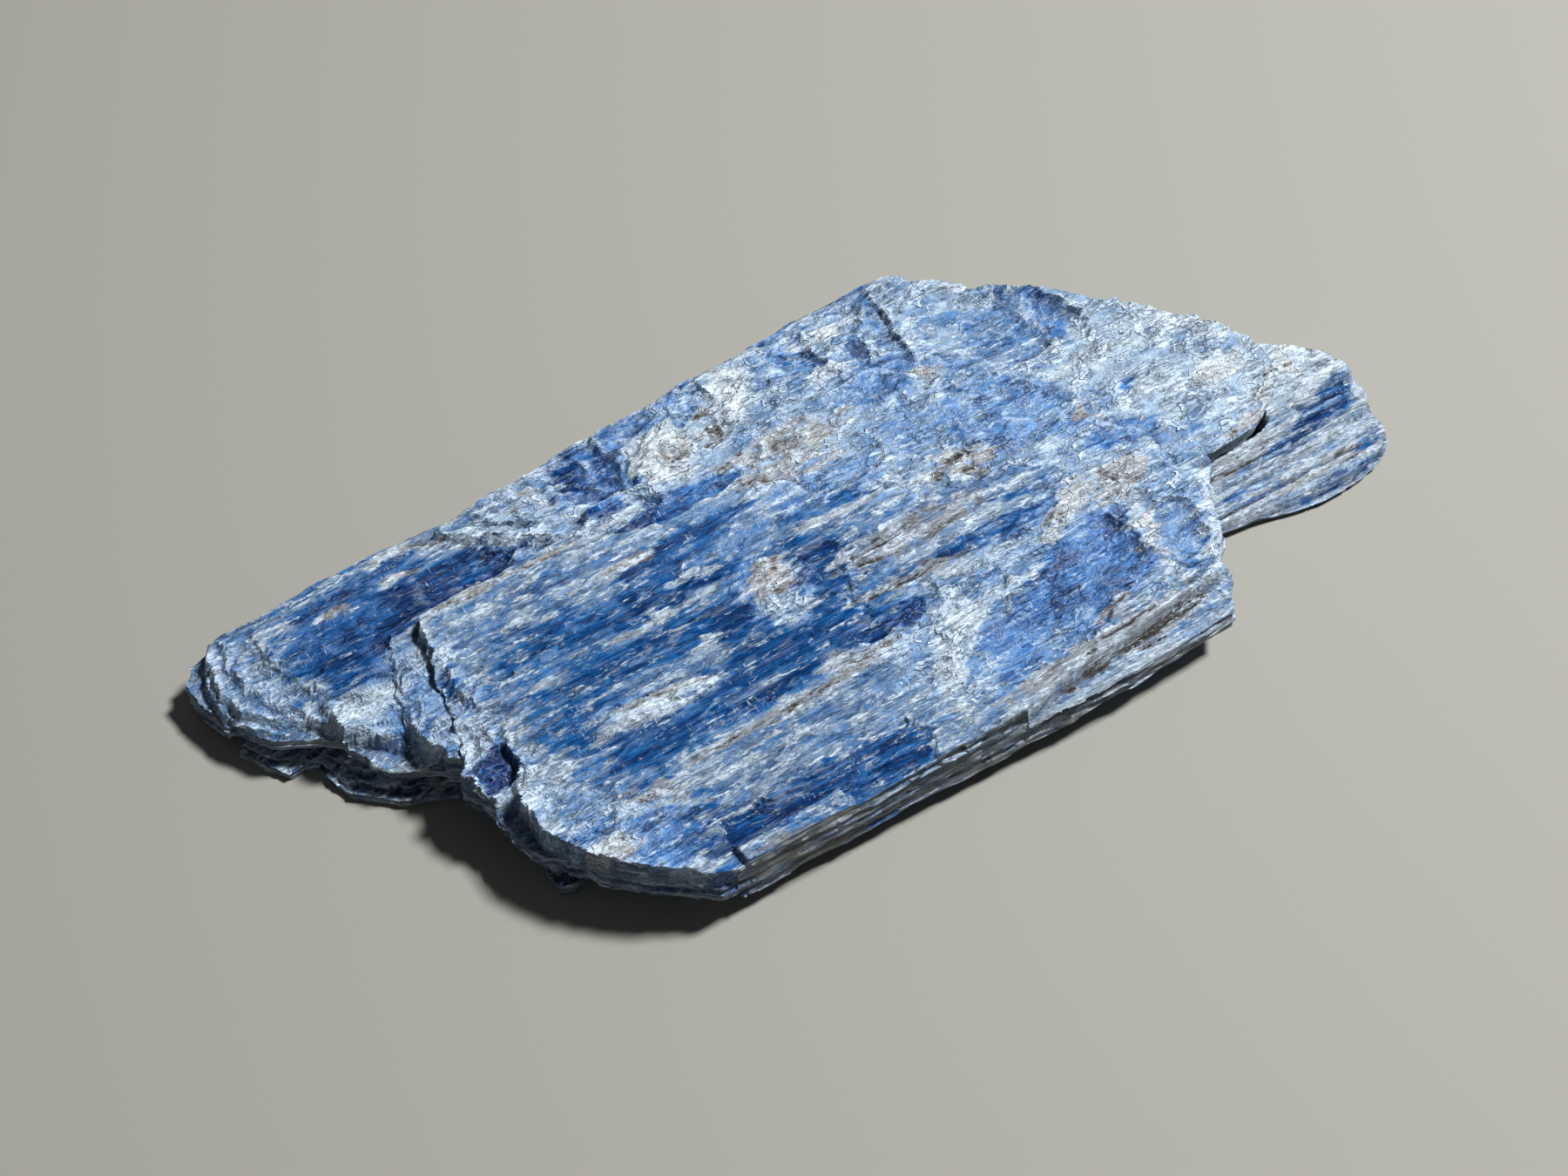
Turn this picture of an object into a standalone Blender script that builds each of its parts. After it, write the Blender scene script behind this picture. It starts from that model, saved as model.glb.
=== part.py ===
"""Kyanite blade cluster: five flat triclinic crystals grown side by side, lying on their broad cleavage faces.

Each crystal is a pile of cleavage sheets: a sheet is an outline carried from one height to another, with its top
a flat face that may dip a little. Sides that run along the blades split clean, and sides that cross them break
into splinters. Ridges are the edges of thin laths, and hollows are where chips have sprung out. A crystal's
sheets, ridges and hollows are one solid. Between two crystals there is a narrow parting.

Lengths are in millimetres until they go into a mesh. +X runs along the blades, and the floor is z = 0.
"""

import math
import random

import bmesh
import bpy

MM = 0.001
CENTRE = (1.05, 0.4)  # middle of the cluster in the plan below, taken to the origin
PARTING = 0.3  # gap between two crystals
STAGGER = 0.07  # each sheet's side of the parting stands back from that of the sheet under it
SINK = 0.8  # how far a ridge or an upper sheet reaches down into what it grows from

# Heights of the cleavage planes above the floor.
FRONT_TOP = 7.5
FRONT_SECOND = 7.0
FRONT_STRIP = 6.3
FRONT_LEDGE = 4.7
FRONT_UNDERSIDE = 2.7
BACK_LEFT_TOP = 5.3
BACK_CROWN_TOP = 6.8
BACK_MIDDLE_TOP = 6.2
BACK_RIGHT_TOP = 6.0
BACK_UNDERSIDE = 2.7
END_TOP = 4.4
END_SHOULDER = 3.4
END_LEDGE = 1.6
LOWER_TOP = 2.1
TIP_TOP = 2.2

# The parting between the front and the back crystal, from its left end to its right end.
PARTING_LINE = [
    (-28.2, -2.6), (-27.4, -0.5), (-26.9, 1.5), (-26.8, 3.5), (-26.2, 5.5), (-25.9, 8.0), (-24.8, 9.3),
    (-19.5, 9.3), (-14.0, 9.5), (-12.6, 8.8), (-9.5, 7.4), (-8.0, 7.0), (-3.0, 7.2), (0.0, 8.0),
    (4.0, 6.8), (8.0, 4.6), (11.0, 1.6), (14.0, -0.8), (18.0, -3.0), (22.0, -4.6), (27.6, -6.9),
]  # fmt: skip

PARTING_START = 2  # points from here on are set back along Y
PARTING_TURN = 6  # points before this one are set back along X

# Leaves that stand out of the front wall: x from, x to, how far they reach, bottom, top.
WALL_LEAVES = [(-14.0, 3.0, 0.45, 3.0, 3.5), (-8.0, 16.0, 0.55, 3.9, 4.4), (-15.2, 5.0, 0.4, 5.0, 5.4)]
# Steps of the layered wall at the front right: x from, x to, y at each end, top.
WALL_STEPS = [
    (5.0, 20.6, -16.9, -15.9, 5.5),
    (6.0, 21.4, -16.5, -15.4, 6.2),
    (17.0, 22.6, -16.6, -16.0, 5.9),
]
# Leaves that stand out of the back wall: x from, x to, y at each end, bottom, top.
BACK_LEAVES = [
    (-34.0, -18.0, 16.4, 17.0, 3.3, 3.8),
    (-24.0, -4.0, 17.2, 17.7, 4.2, 4.5),
    (-2.0, 13.0, 18.4, 19.1, 3.5, 4.0),
]
# Broken blocks along the bevelled back edge: corner x, corner y, length, width, top.
EDGE_BLOCKS = [
    (-20.0, 13.6, 2.8, 2.2, 6.2), (-16.2, 12.4, 3.4, 3.4, 6.5), (-7.6, 13.2, 3.6, 2.8, 6.5),
    (-4.6, 10.9, 2.4, 2.6, 6.9), (0.2, 13.6, 2.2, 3.2, 6.4), (3.4, 11.8, 2.2, 3.6, 6.6),
    (7.4, 11.2, 2.4, 2.8, 6.6), (10.6, 14.0, 2.6, 2.8, 6.3), (13.6, 11.4, 2.2, 3.0, 6.4),
    (14.6, 15.6, 2.0, 2.2, 6.1),
]  # fmt: skip
# Bands of fine laths on the faces: x from, x to, y from, y to, the face's height, how many.
FRONT_LATHS = [
    (-24, -2, -8.5, -1.0, FRONT_TOP, 6), (-23, -4, -0.5, 6.4, FRONT_TOP, 6),
    (-20, 2, -14.0, -10.2, FRONT_SECOND, 4), (4, 16, -6.5, -4.2, FRONT_SECOND, 3),
    (2, 9, -0.6, 2.2, FRONT_TOP, 2), (9, 21, -17.4, -16.6, FRONT_LEDGE, 2),
]  # fmt: skip
BACK_LATHS = [
    (-35, -26, 8.0, 14.0, BACK_LEFT_TOP + 0.3, 5), (-27, -18, 11.0, 15.0, BACK_LEFT_TOP + 0.3, 3),
    (-6, 10, 9.6, 11.4, BACK_CROWN_TOP, 3), (13, 26, 0.5, 6.5, BACK_RIGHT_TOP + 0.2, 6),
    (22, 35, -3.2, 2.5, BACK_RIGHT_TOP - 0.1, 6),
]  # fmt: skip
END_LATHS = [
    (31, 42.2, -8.0, -7.2, END_SHOULDER - 0.3, 2), (38.4, 42.2, -6.6, -4.6, END_SHOULDER + 0.1, 3),
    (26, 42.4, -9.0, -8.0, 2.1, 3), (27, 42.2, -11.2, -9.4, END_LEDGE, 4),
]  # fmt: skip


def clear_scene():
    for item in list(bpy.data.objects):
        bpy.data.objects.remove(item)


def kyanite(name, colour, roughness):
    """Kyanite of one tone: a glassy to pearly silicate, not metallic."""
    material = bpy.data.materials.new(name)
    material.use_nodes = True
    shader = material.node_tree.nodes["Principled BSDF"]
    shader.inputs["Base Color"].default_value = (*colour, 1)
    shader.inputs["Roughness"].default_value = roughness
    shader.inputs["Metallic"].default_value = 0
    shader.inputs["IOR"].default_value = 1.72
    return material


def parting_side(gap):
    """The parting line set back by `gap`: up for the back crystal, and down, with a minus, for the front one.
    Its first points run across the blades, so they are set back along X."""
    moved = []
    for k, (x, y) in enumerate(PARTING_LINE):
        back = gap if k < PARTING_TURN else 0
        up = gap if k >= PARTING_START else 0
        moved.append((x - back, y + up))
    return moved


def splintered(outline, tooth, depth, seed, plain=()):
    """The outline with its sides cut every `tooth` mm. Each cut is pushed along the blade by up to `depth`
    where the side crosses the blades, and hardly at all where it runs along them. A side between two points
    of `plain` stays straight, so that a parting keeps its width."""
    dice = random.Random(seed)
    points = []
    for (x0, y0), (x1, y1) in zip(outline, outline[1:] + outline[:1], strict=True):
        length = math.hypot(x1 - x0, y1 - y0)
        across = abs(y1 - y0) / length
        straight = (x0, y0) in plain and (x1, y1) in plain
        cuts = 1 if straight else max(1, round(length / tooth))
        for k in range(cuts):
            t = k / cuts
            push = dice.uniform(-depth, depth) if k else 0
            points.append((x0 + t * (x1 - x0) + push * across, y0 + t * (y1 - y0) + 0.12 * push))
    return points


def solid(name, rings, faces):
    """An object from rings of points in mm, given as one list, and faces over them."""
    mesh = bpy.data.meshes.new(name)
    build = bmesh.new()
    corners = [build.verts.new(((x - CENTRE[0]) * MM, (y - CENTRE[1]) * MM, z * MM)) for x, y, z in rings]
    for face in faces:
        build.faces.new([corners[i] for i in face])
    bmesh.ops.recalc_face_normals(build, faces=build.faces)
    build.to_mesh(mesh)
    build.free()
    item = bpy.data.objects.new(name, mesh)
    bpy.context.collection.objects.link(item)
    return item


def sheet(name, outline, low, high, dip=(0, 0), lean=0.0):
    """A cleavage sheet: the outline from `low` to `high`, its top dipping by `dip` (rise per mm along X and Y)
    about the outline's middle. `lean` draws the foot in towards the middle by that share, as an undercut."""
    count = len(outline)
    mx = sum(x for x, _ in outline) / count
    my = sum(y for _, y in outline) / count
    foot = [(x + (mx - x) * lean, y + (my - y) * lean, low) for x, y in outline]
    head = [(x, y, high + dip[0] * (x - mx) + dip[1] * (y - my)) for x, y in outline]
    walls = [(k, (k + 1) % count, count + (k + 1) % count, count + k) for k in range(count)]
    faces = [tuple(reversed(range(count))), tuple(range(count, 2 * count)), *walls]
    return solid(name, foot + head, faces)


def ridge(name, start, end, width, low, high, skew=0.0):
    """A splinter-shaped ridge: a long low roof from `start` to `end`, pointed at both ends, with its crest
    `skew` of the half width to one side."""
    (x0, y0), (x1, y1) = start, end
    length = math.hypot(x1 - x0, y1 - y0)
    ux, uy = (x1 - x0) / length, (y1 - y0) / length
    half = width / 2

    def at(t, side, z):
        return (x0 + ux * t * length - uy * side, y0 + uy * t * length + ux * side, z)

    foot = low - SINK
    points = [at(0, 0, foot), at(0.22, -half, foot), at(0.85, -half, foot), at(1, 0, foot)]
    points += [at(0.8, half, foot), at(0.18, half, foot), at(0, 0, low)]
    points += [at(0.22, -half, low), at(0.85, -half, low), at(1, 0, low), at(0.8, half, low), at(0.18, half, low)]
    points += [at(0.2, skew * half, high), at(0.82, skew * half, high)]
    faces = [(0, 5, 4, 3, 2, 1)]
    faces += [(k, (k + 1) % 6, 6 + (k + 1) % 6, 6 + k) for k in range(6)]
    faces += [(6, 7, 12), (7, 8, 13, 12), (8, 9, 13), (9, 10, 13), (10, 11, 12, 13), (11, 6, 12)]
    return solid(name, points, faces)


def hollow(name, middle, radii, turn, depth, surface, steps=14):
    """A cutter for a chip sprung out of a face: a shallow shell-shaped bowl `depth` deep below `surface`, with
    its floor near one side, so that one wall is steep and the other runs out. `radii` are along and across the
    direction `turn`, in degrees from +X."""
    angle = math.radians(turn)
    above = surface + 1.0
    points = []
    for share, z in ((1.0, above), (1.0, surface), (0.62, surface - 0.72 * depth)):
        for k in range(steps):
            a = 2 * math.pi * k / steps
            wobble = 1 + 0.12 * math.sin(3 * a + middle[0]) + 0.07 * math.sin(5 * a + middle[1])
            u = radii[0] * share * wobble * math.cos(a)
            v = radii[1] * share * wobble * math.sin(a) + 0.18 * radii[1] * (1 - share)
            x = middle[0] + u * math.cos(angle) - v * math.sin(angle)
            y = middle[1] + u * math.sin(angle) + v * math.cos(angle)
            points.append((x, y, z))
    points.append((middle[0], middle[1] + 0.25 * radii[1], surface - depth))
    faces = [tuple(range(steps))]
    for ring in range(2):
        for k in range(steps):
            a, b = ring * steps + k, ring * steps + (k + 1) % steps
            faces.append((a, b, b + steps, a + steps))
    faces += [(2 * steps + k, 2 * steps + (k + 1) % steps, 3 * steps) for k in range(steps)]
    return solid(name, points, faces)


def laths(name, rows, seed):
    """Ridges in bands: each row gives (x from, x to, y from, y to, surface, count), and each of its ridges gets
    a seeded place, length, width and height."""
    dice = random.Random(seed)
    made = []
    for row, (x0, x1, y0, y1, surface, count) in enumerate(rows):
        for k in range(count):
            length = dice.uniform(0.35, 0.7) * (x1 - x0)
            start = dice.uniform(x0, x1 - length)
            y = y0 + (y1 - y0) * (k + dice.uniform(0.25, 0.75)) / count
            width = dice.uniform(0.5, 1.3)
            height = surface + dice.uniform(0.12, 0.4)
            ends = (start, y), (start + length, y + dice.uniform(-0.3, 0.3))
            made.append(ridge(f"{name}_{row}_{k}", *ends, width, surface - 0.1, height, dice.uniform(-0.7, 0.7)))
    return made


def fused(name, sheets, hollows, material):
    """One crystal: the first sheet with the others joined to it and the hollows cut from it."""
    crystal = sheets[0]
    crystal.name = name
    crystal.data.materials.append(material)
    for operation, pieces in (("UNION", sheets[1:]), ("DIFFERENCE", hollows)):
        for piece in pieces:
            modifier = crystal.modifiers.new(piece.name, "BOOLEAN")
            modifier.operation = operation
            modifier.object = piece
            piece.hide_render = True
            piece.display_type = "WIRE"
    return crystal


def front_blade(material):
    """The thick front plate. Its left end and front edge hang clear of the floor over a keel that carries it."""
    seam = parting_side(0)
    second_seam, top_seam = parting_side(-STAGGER), parting_side(-2 * STAGGER)
    rim = [
        (-26.1, -5.6), (-25.6, -9.4), (-24.8, -10.8), (-23.8, -12.5), (-21.3, -14.8), (-18.3, -16.9),
        (-15.0, -17.6), (0.0, -17.6), (8.0, -17.4), (20.6, -15.6), (22.4, -15.6), (23.4, -14.4),
        (24.5, -12.6), (26.2, -9.2),
    ]  # fmt: skip
    skirt = [
        (-28.1, -3.1), (-27.5, -4.2), (-27.2, -5.7), (-27.0, -7.6), (-26.3, -8.8), (-25.3, -10.5),
        (-23.5, -11.9), (-21.3, -13.6), (-19.2, -15.5), (-17.3, -17.3), (-10.0, -15.5), (8.0, -15.5),
        (12.0, 0.6), (4.0, 6.0), (-20.0, 8.0), *reversed(second_seam[2:6]),
    ]  # fmt: skip
    main_plate = splintered([*rim, *reversed(seam[4:])], 1.5, 0.3, 11, seam)
    skirt = splintered(skirt, 1.4, 0.3, 12, second_seam)
    sheets = [
        sheet("front_main", main_plate, FRONT_UNDERSIDE, FRONT_STRIP),
        sheet("front_skirt", skirt, FRONT_UNDERSIDE, FRONT_LEDGE - 0.1, (0.01, -0.02)),
    ]
    left_step = [*reversed(top_seam[:7]), (-28.1, -3.1), (-27.6, -5.3), (-24.0, -6.5), (-20.0, 0.0), (-20.0, 9.3)]
    left_step = splintered(left_step, 1.5, 0.2, 13, top_seam)
    sheets.append(sheet("front_left_step", left_step, 4.0, 5.9, (0.05, 0)))
    second = [
        (-22.6, -8.8), (-18.0, -11.0), (-16.5, -12.0), (-14.0, -13.5), (-12.5, -14.7), (-11.0, -15.1),
        (-8.0, -15.0), (-4.0, -14.7), (-2.1, -14.4), (-1.9, -17.2), (6.0, -17.1), (9.0, -16.1),
        (12.0, -16.0), (17.0, -15.4), (20.0, -15.0), (21.9, -14.9), (23.9, -12.4), (25.6, -9.2),
        *reversed(second_seam[8:]), (-22.0, 4.0),
    ]  # fmt: skip
    second = splintered(second, 1.6, 0.35, 14, second_seam)
    sheets.append(sheet("front_second", second, 5.4, FRONT_SECOND, (0, 0.006)))
    top = [
        (-24.7, 9.1), (-25.3, 6.9), (-25.6, 5.0), (-26.3, 2.9), (-25.0, -0.2), (-24.2, -1.0), (-24.7, -3.2),
        (-24.7, -5.2), (-23.4, -7.4), (-21.0, -8.8), (-14.0, -9.6), (-6.0, -9.6), (-0.5, -8.8),
        (0.1, -5.2), (1.5, -1.0), (5.5, -1.6), (9.0, 0.2), (7.5, 3.4), (3.0, 3.2), (-1.0, 6.9),
        *reversed(top_seam[7:12]),
    ]  # fmt: skip
    top = splintered(top, 1.6, 0.4, 15, top_seam)
    sheets.append(sheet("front_top", top, 6.2, FRONT_TOP, (-0.002, 0.008)))
    bar = [(-15.9, -17.55), (-16.0, -16.3), (-8.0, -16.0), (-2.4, -16.2), (-2.4, -17.55)]
    sheets.append(sheet("front_rim_bar", bar, 5.5, 6.9, (0, -0.08)))
    ledge = [
        (5.0, -17.9), (10.0, -18.2), (14.0, -18.3), (19.6, -17.9), (22.3, -17.7), (22.8, -16.6),
        (22.0, -13.0), (6.0, -13.0),
    ]  # fmt: skip
    sheets.append(sheet("front_right_ledge", splintered(ledge, 1.5, 0.25, 16), 3.1, FRONT_LEDGE, (0.01, 0.04)))
    for k, (x0, x1, reach, low, high) in enumerate(WALL_LEAVES):
        leaf = [(x0, -17.3 - reach), (x1, -17.3 - reach), (x1 + 0.8, -14.5), (x0 - 1.2, -14.5)]
        sheets.append(sheet(f"wall_leaf_{k}", splintered(leaf, 2.4, 0.3, 80 + k), low, high))
    for k, (x0, x1, y0, y1, high) in enumerate(WALL_STEPS):
        step = [(x0, y0), (x1, y1), (x1 - 0.5, y1 + 2.4), (x0 + 1.0, y0 + 2.4)]
        sheets.append(sheet(f"wall_step_{k}", splintered(step, 1.6, 0.3, 90 + k), 4.2, high, (0, 0.03)))
    lower_lip = [(-15.7, -17.3), (0.0, -17.5), (7.5, -17.7), (10.0, -15.0), (-12.0, -13.6)]
    sheets.append(sheet("front_lower_lip", lower_lip, 1.8, 3.4))
    keel = [
        (-16.5, -10.0), (-8.0, -13.2), (8.0, -13.4), (17.0, -11.5), (20.0, -7.0), (14.0, -2.0), (0.0, 5.0),
        (-15.0, 5.5),
    ]  # fmt: skip
    sheets.append(sheet("front_keel", keel, 0.0, 4.0, lean=-0.04))
    sheets.append(ridge("right_ridge", (19.4, -14.6), (21.4, -6.8), 2.0, 6.8, 7.4, 0.3))
    sheets.append(ridge("notch_ridge", (1.9, -2.9), (12.4, -2.2), 1.8, 6.9, 7.6, 0.4))
    sheets.append(ridge("tan_ridge", (15.0, -6.4), (23.6, -6.2), 1.8, 6.8, 7.35, -0.3))
    sheets.append(ridge("band_ridge", (2.4, -13.8), (6.4, -7.2), 1.5, 6.8, 7.3, -0.3))
    sheets.append(ridge("fin", (-5.0, -1.6), (1.6, -3.6), 1.2, 7.3, 7.9, 0.5))
    sheets += laths("front_lath", FRONT_LATHS, 17)
    hollows = [
        hollow("front_scoop", (9.0, -13.3), (5.2, 2.3), 4, 0.9, FRONT_SECOND),
        hollow("front_field", (14.6, -10.4), (4.6, 2.2), 8, 0.5, FRONT_SECOND),
        hollow("end_scoop", (21.9, -11.8), (1.5, 2.4), -15, 0.6, FRONT_SECOND),
        hollow("notch", (-0.4, -1.0), (2.0, 1.2), 10, 0.8, FRONT_TOP),
        hollow("middle_pit", (1.5, -7.0), (3.0, 1.0), 3, 0.7, FRONT_SECOND),
        hollow("left_pit", (-26.4, -3.2), (1.3, 1.3), 0, 1.3, 5.9),
        hollow("dark_field", (-11.0, -6.6), (8.5, 1.8), 2, 0.35, FRONT_TOP),
        hollow("recess", (-8.0, -1.6), (2.6, 0.9), 4, 0.5, FRONT_TOP),
    ]
    return fused("front_blade", sheets, hollows, material)


def back_blade(material):
    """The full-length back plate: stepped sheets at its left nose, a bevelled broken back edge, a shell-shaped
    hollow near its far corner and a thin pale right end."""
    seam = parting_side(PARTING)
    second_seam, top_seam = parting_side(PARTING + STAGGER), parting_side(PARTING + 2 * STAGGER)
    left_edge = [
        (-37.9, 15.6), (-38.8, 13.6), (-38.8, 11.4), (-38.6, 9.8), (-36.6, 7.8), (-35.3, 6.8), (-33.8, 5.4),
        (-32.6, 3.9), (-31.4, 2.4), (-30.0, 1.4), (-29.0, 0.3), (-28.3, -0.9),
    ]  # fmt: skip
    right_end = [
        (28.2, -6.4), (33.0, -6.0), (34.5, -5.1), (36.0, -4.1), (37.0, -2.7), (37.2, -0.9), (36.9, 0.6),
        (35.8, 2.5), (34.6, 4.1), (32.8, 5.9), (31.1, 7.5), (28.9, 9.4), (26.4, 11.4), (24.0, 13.3),
        (21.6, 15.5), (19.6, 17.0), (18.0, 18.9),
    ]  # fmt: skip
    back_edge = [
        (15.3, 19.0), (8.9, 18.7), (4.9, 18.2), (-2.4, 17.9), (-6.4, 17.3), (-12.3, 16.8), (-17.6, 16.4),
        (-25.2, 16.7), (-32.7, 16.1),
    ]  # fmt: skip
    whole = left_edge + seam[1:] + right_end + back_edge
    sheets = [sheet("back_main", splintered(whole, 1.6, 0.3, 21, seam), BACK_UNDERSIDE, 4.7)]
    top_left = [
        (-37.6, 15.4), (-37.9, 13.5), (-37.3, 11.2), (-36.4, 9.2), (-35.2, 7.8), (-34.0, 5.9), (-32.9, 4.0),
        (-31.2, 2.8), (-28.8, 2.2), *second_seam[3:9], (-12.0, 15.6), (-25.0, 16.3),
    ]  # fmt: skip
    top_left = splintered(top_left, 1.6, 0.3, 22, second_seam)
    sheets.append(sheet("back_left_top", top_left, 3.8, BACK_LEFT_TOP, (0.004, 0)))
    inner = [
        (-36.0, 14.8), (-35.7, 11.2), (-34.6, 9.8), (-33.3, 7.4), (-28.4, 7.0), (-27.0, 9.6), (-17.0, 10.0),
        (-18.0, 14.0), (-24.0, 15.9),
    ]  # fmt: skip
    sheets.append(sheet("back_left_inner", splintered(inner, 1.7, 0.25, 23), 4.6, 5.7, (0.004, -0.01)))
    block = [(-33.4, 7.2), (-33.2, 4.7), (-30.2, 4.3), (-28.2, 5.0), (-28.0, 7.6), (-30.5, 7.5)]
    sheets.append(sheet("pale_block", splintered(block, 1.4, 0.2, 24), 4.6, 5.8, (-0.02, 0.02)))
    middle = [
        (-21.0, 15.2), (-17.6, 14.0), (-15.2, 11.6), (-14.2, 10.2), *top_seam[8:], (28.4, -5.4), (31.0, 1.0),
        (31.6, 6.2), (30.4, 7.5), (28.7, 9.1), (26.2, 11.1), (23.8, 13.0), (21.4, 15.2), (19.4, 16.7),
        (17.9, 18.5), (15.3, 18.7), (8.9, 18.4), (4.9, 17.8), (-2.4, 17.5), (-6.4, 16.9), (-12.3, 16.4),
        (-17.0, 16.1),
    ]  # fmt: skip
    middle = splintered(middle, 1.7, 0.4, 25, top_seam)
    sheets.append(sheet("back_middle", middle, 4.2, BACK_MIDDLE_TOP, (-0.006, -0.035)))
    crown_seam = parting_side(PARTING + 3 * STAGGER)
    crown = [
        (-13.4, 10.0), *crown_seam[9:17], (13.8, 4.2), (14.6, 9.2), (12.0, 11.6), (5.0, 11.0), (-1.0, 11.4),
        (-5.0, 13.4), (-11.0, 11.6),
    ]  # fmt: skip
    crown = splintered(crown, 1.7, 0.4, 26, crown_seam)
    sheets.append(sheet("back_crown", crown, 5.2, BACK_CROWN_TOP, (-0.01, -0.03)))
    right = [
        (13.6, 7.4), (13.4, 2.0), *second_seam[17:20], (25.6, -5.4), (33.6, -5.2), (35.6, -3.8), (37.0, -1.4),
        (36.8, 0.4), (35.5, 2.6), (34.3, 4.0), (32.5, 5.8), (27.0, 7.2), (20.0, 6.2),
    ]  # fmt: skip
    right = splintered(right, 1.7, 0.4, 27, second_seam)
    sheets.append(sheet("back_right", right, 4.2, BACK_RIGHT_TOP, (-0.03, -0.01)))
    nose = [
        (-36.8, 15.9), (-38.8, 16.0), (-40.0, 15.3), (-40.1, 13.4), (-39.3, 11.8), (-38.4, 11.2), (-36.8, 13.0),
    ]  # fmt: skip
    sheets.append(sheet("back_nose", splintered(nose, 1.4, 0.15, 28), 0.5, 3.7, (0.25, 0.05), lean=-0.45))
    nose_leaf = [
        (-36.8, 16.0), (-38.7, 15.0), (-39.4, 13.4), (-39.4, 11.4), (-38.9, 9.8), (-37.0, 7.6), (-35.0, 6.0),
        (-33.0, 8.0), (-33.0, 14.0),
    ]  # fmt: skip
    sheets.append(sheet("nose_leaf", splintered(nose_leaf, 1.3, 0.2, 31), 2.9, 4.0, (0.02, 0.01)))
    tray = [
        (-35.9, 7.2), (-34.2, 6.0), (-33.2, 4.6), (-32.7, 3.2), (-31.7, 1.6), (-30.4, 0.8), (-28.6, 0.2),
        (-28.4, 4.0), (-30.0, 9.0),
    ]  # fmt: skip
    sheets.append(sheet("back_tray", splintered(tray, 1.4, 0.25, 29), BACK_UNDERSIDE - 0.1, 3.7))
    root = [
        (-36.9, 15.5), (-38.2, 14.2), (-37.6, 12.4), (-34.0, 12.0), (-27.0, 12.4), (-20.0, 11.8), (-11.0, 12.4),
        (-10.0, 15.2), (-17.6, 15.9), (-25.2, 16.3), (-32.7, 15.7),
    ]  # fmt: skip
    sheets.append(sheet("back_left_root", splintered(root, 1.7, 0.3, 32), 0.4, 4.1))
    keel = [
        (-12.0, 9.4), (-3.0, 9.0), (6.0, 8.0), (14.0, 2.6), (19.0, 2.0), (20.0, 9.0), (14.0, 15.5), (-8.0, 14.5),
    ]  # fmt: skip
    sheets.append(sheet("back_keel", keel, 0.0, 4.0, lean=-0.03))
    sheets.append(ridge("slant_ridge", (-21.4, 15.3), (-13.2, 9.9), 1.6, 5.6, 6.5, -0.3))
    sheets.append(ridge("crown_ridge", (-7.0, 11.4), (0.0, 14.2), 2.6, 5.8, 6.8, 0.2))
    sheets.append(ridge("block_ridge", (0.6, 12.6), (4.6, 15.2), 2.4, 5.6, 6.6, 0.2))
    sheets.append(ridge("corner_ridge", (8.2, 12.6), (16.0, 17.6), 2.2, 5.6, 6.5, 0.2))
    for k, (x0, x1, y0, y1, low, high) in enumerate(BACK_LEAVES):
        leaf = [(x0, y0 - 3), (x1, y1 - 3), (x1 - 0.6, y1), (x0 + 0.8, y0)]
        sheets.append(sheet(f"back_leaf_{k}", splintered(leaf, 2.4, 0.3, 100 + k), low, high))
    for k, (x, y, long, wide, top) in enumerate(EDGE_BLOCKS):
        block = [(x, y), (x + long, y + 0.3), (x + 0.9 * long, y + wide), (x + 0.2 * long, y + 0.9 * wide)]
        sheets.append(sheet(f"edge_block_{k}", splintered(block, 1.2, 0.25, 70 + k), 5.0, top, (0.03, -0.09)))
    sheets.append(ridge("shell_ridge", (22.6, 6.2), (26.2, 11.4), 1.2, 5.5, 6.2, 0.2))
    sheets += laths("back_lath", BACK_LATHS, 30)
    hollows = [
        hollow("shell_hollow", (21.4, 11.0), (4.6, 3.2), -38, 1.0, 5.9),
        hollow("lens_hollow", (-20.6, 10.9), (3.2, 1.4), 2, 0.6, 5.7),
        hollow("blue_hollow", (-10.2, 13.6), (2.4, 1.7), 20, 0.9, 6.1),
        hollow("pale_pit", (-10.2, 9.4), (1.9, 0.9), -10, 0.9, BACK_CROWN_TOP),
        hollow("edge_groove_left", (-2.3, 14.9), (0.5, 2.4), 8, 0.8, 6.1),
        hollow("edge_groove_right", (6.4, 14.8), (0.6, 2.2), 12, 0.8, 6.0),
    ]
    return fused("back_blade", sheets, hollows, material)


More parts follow.
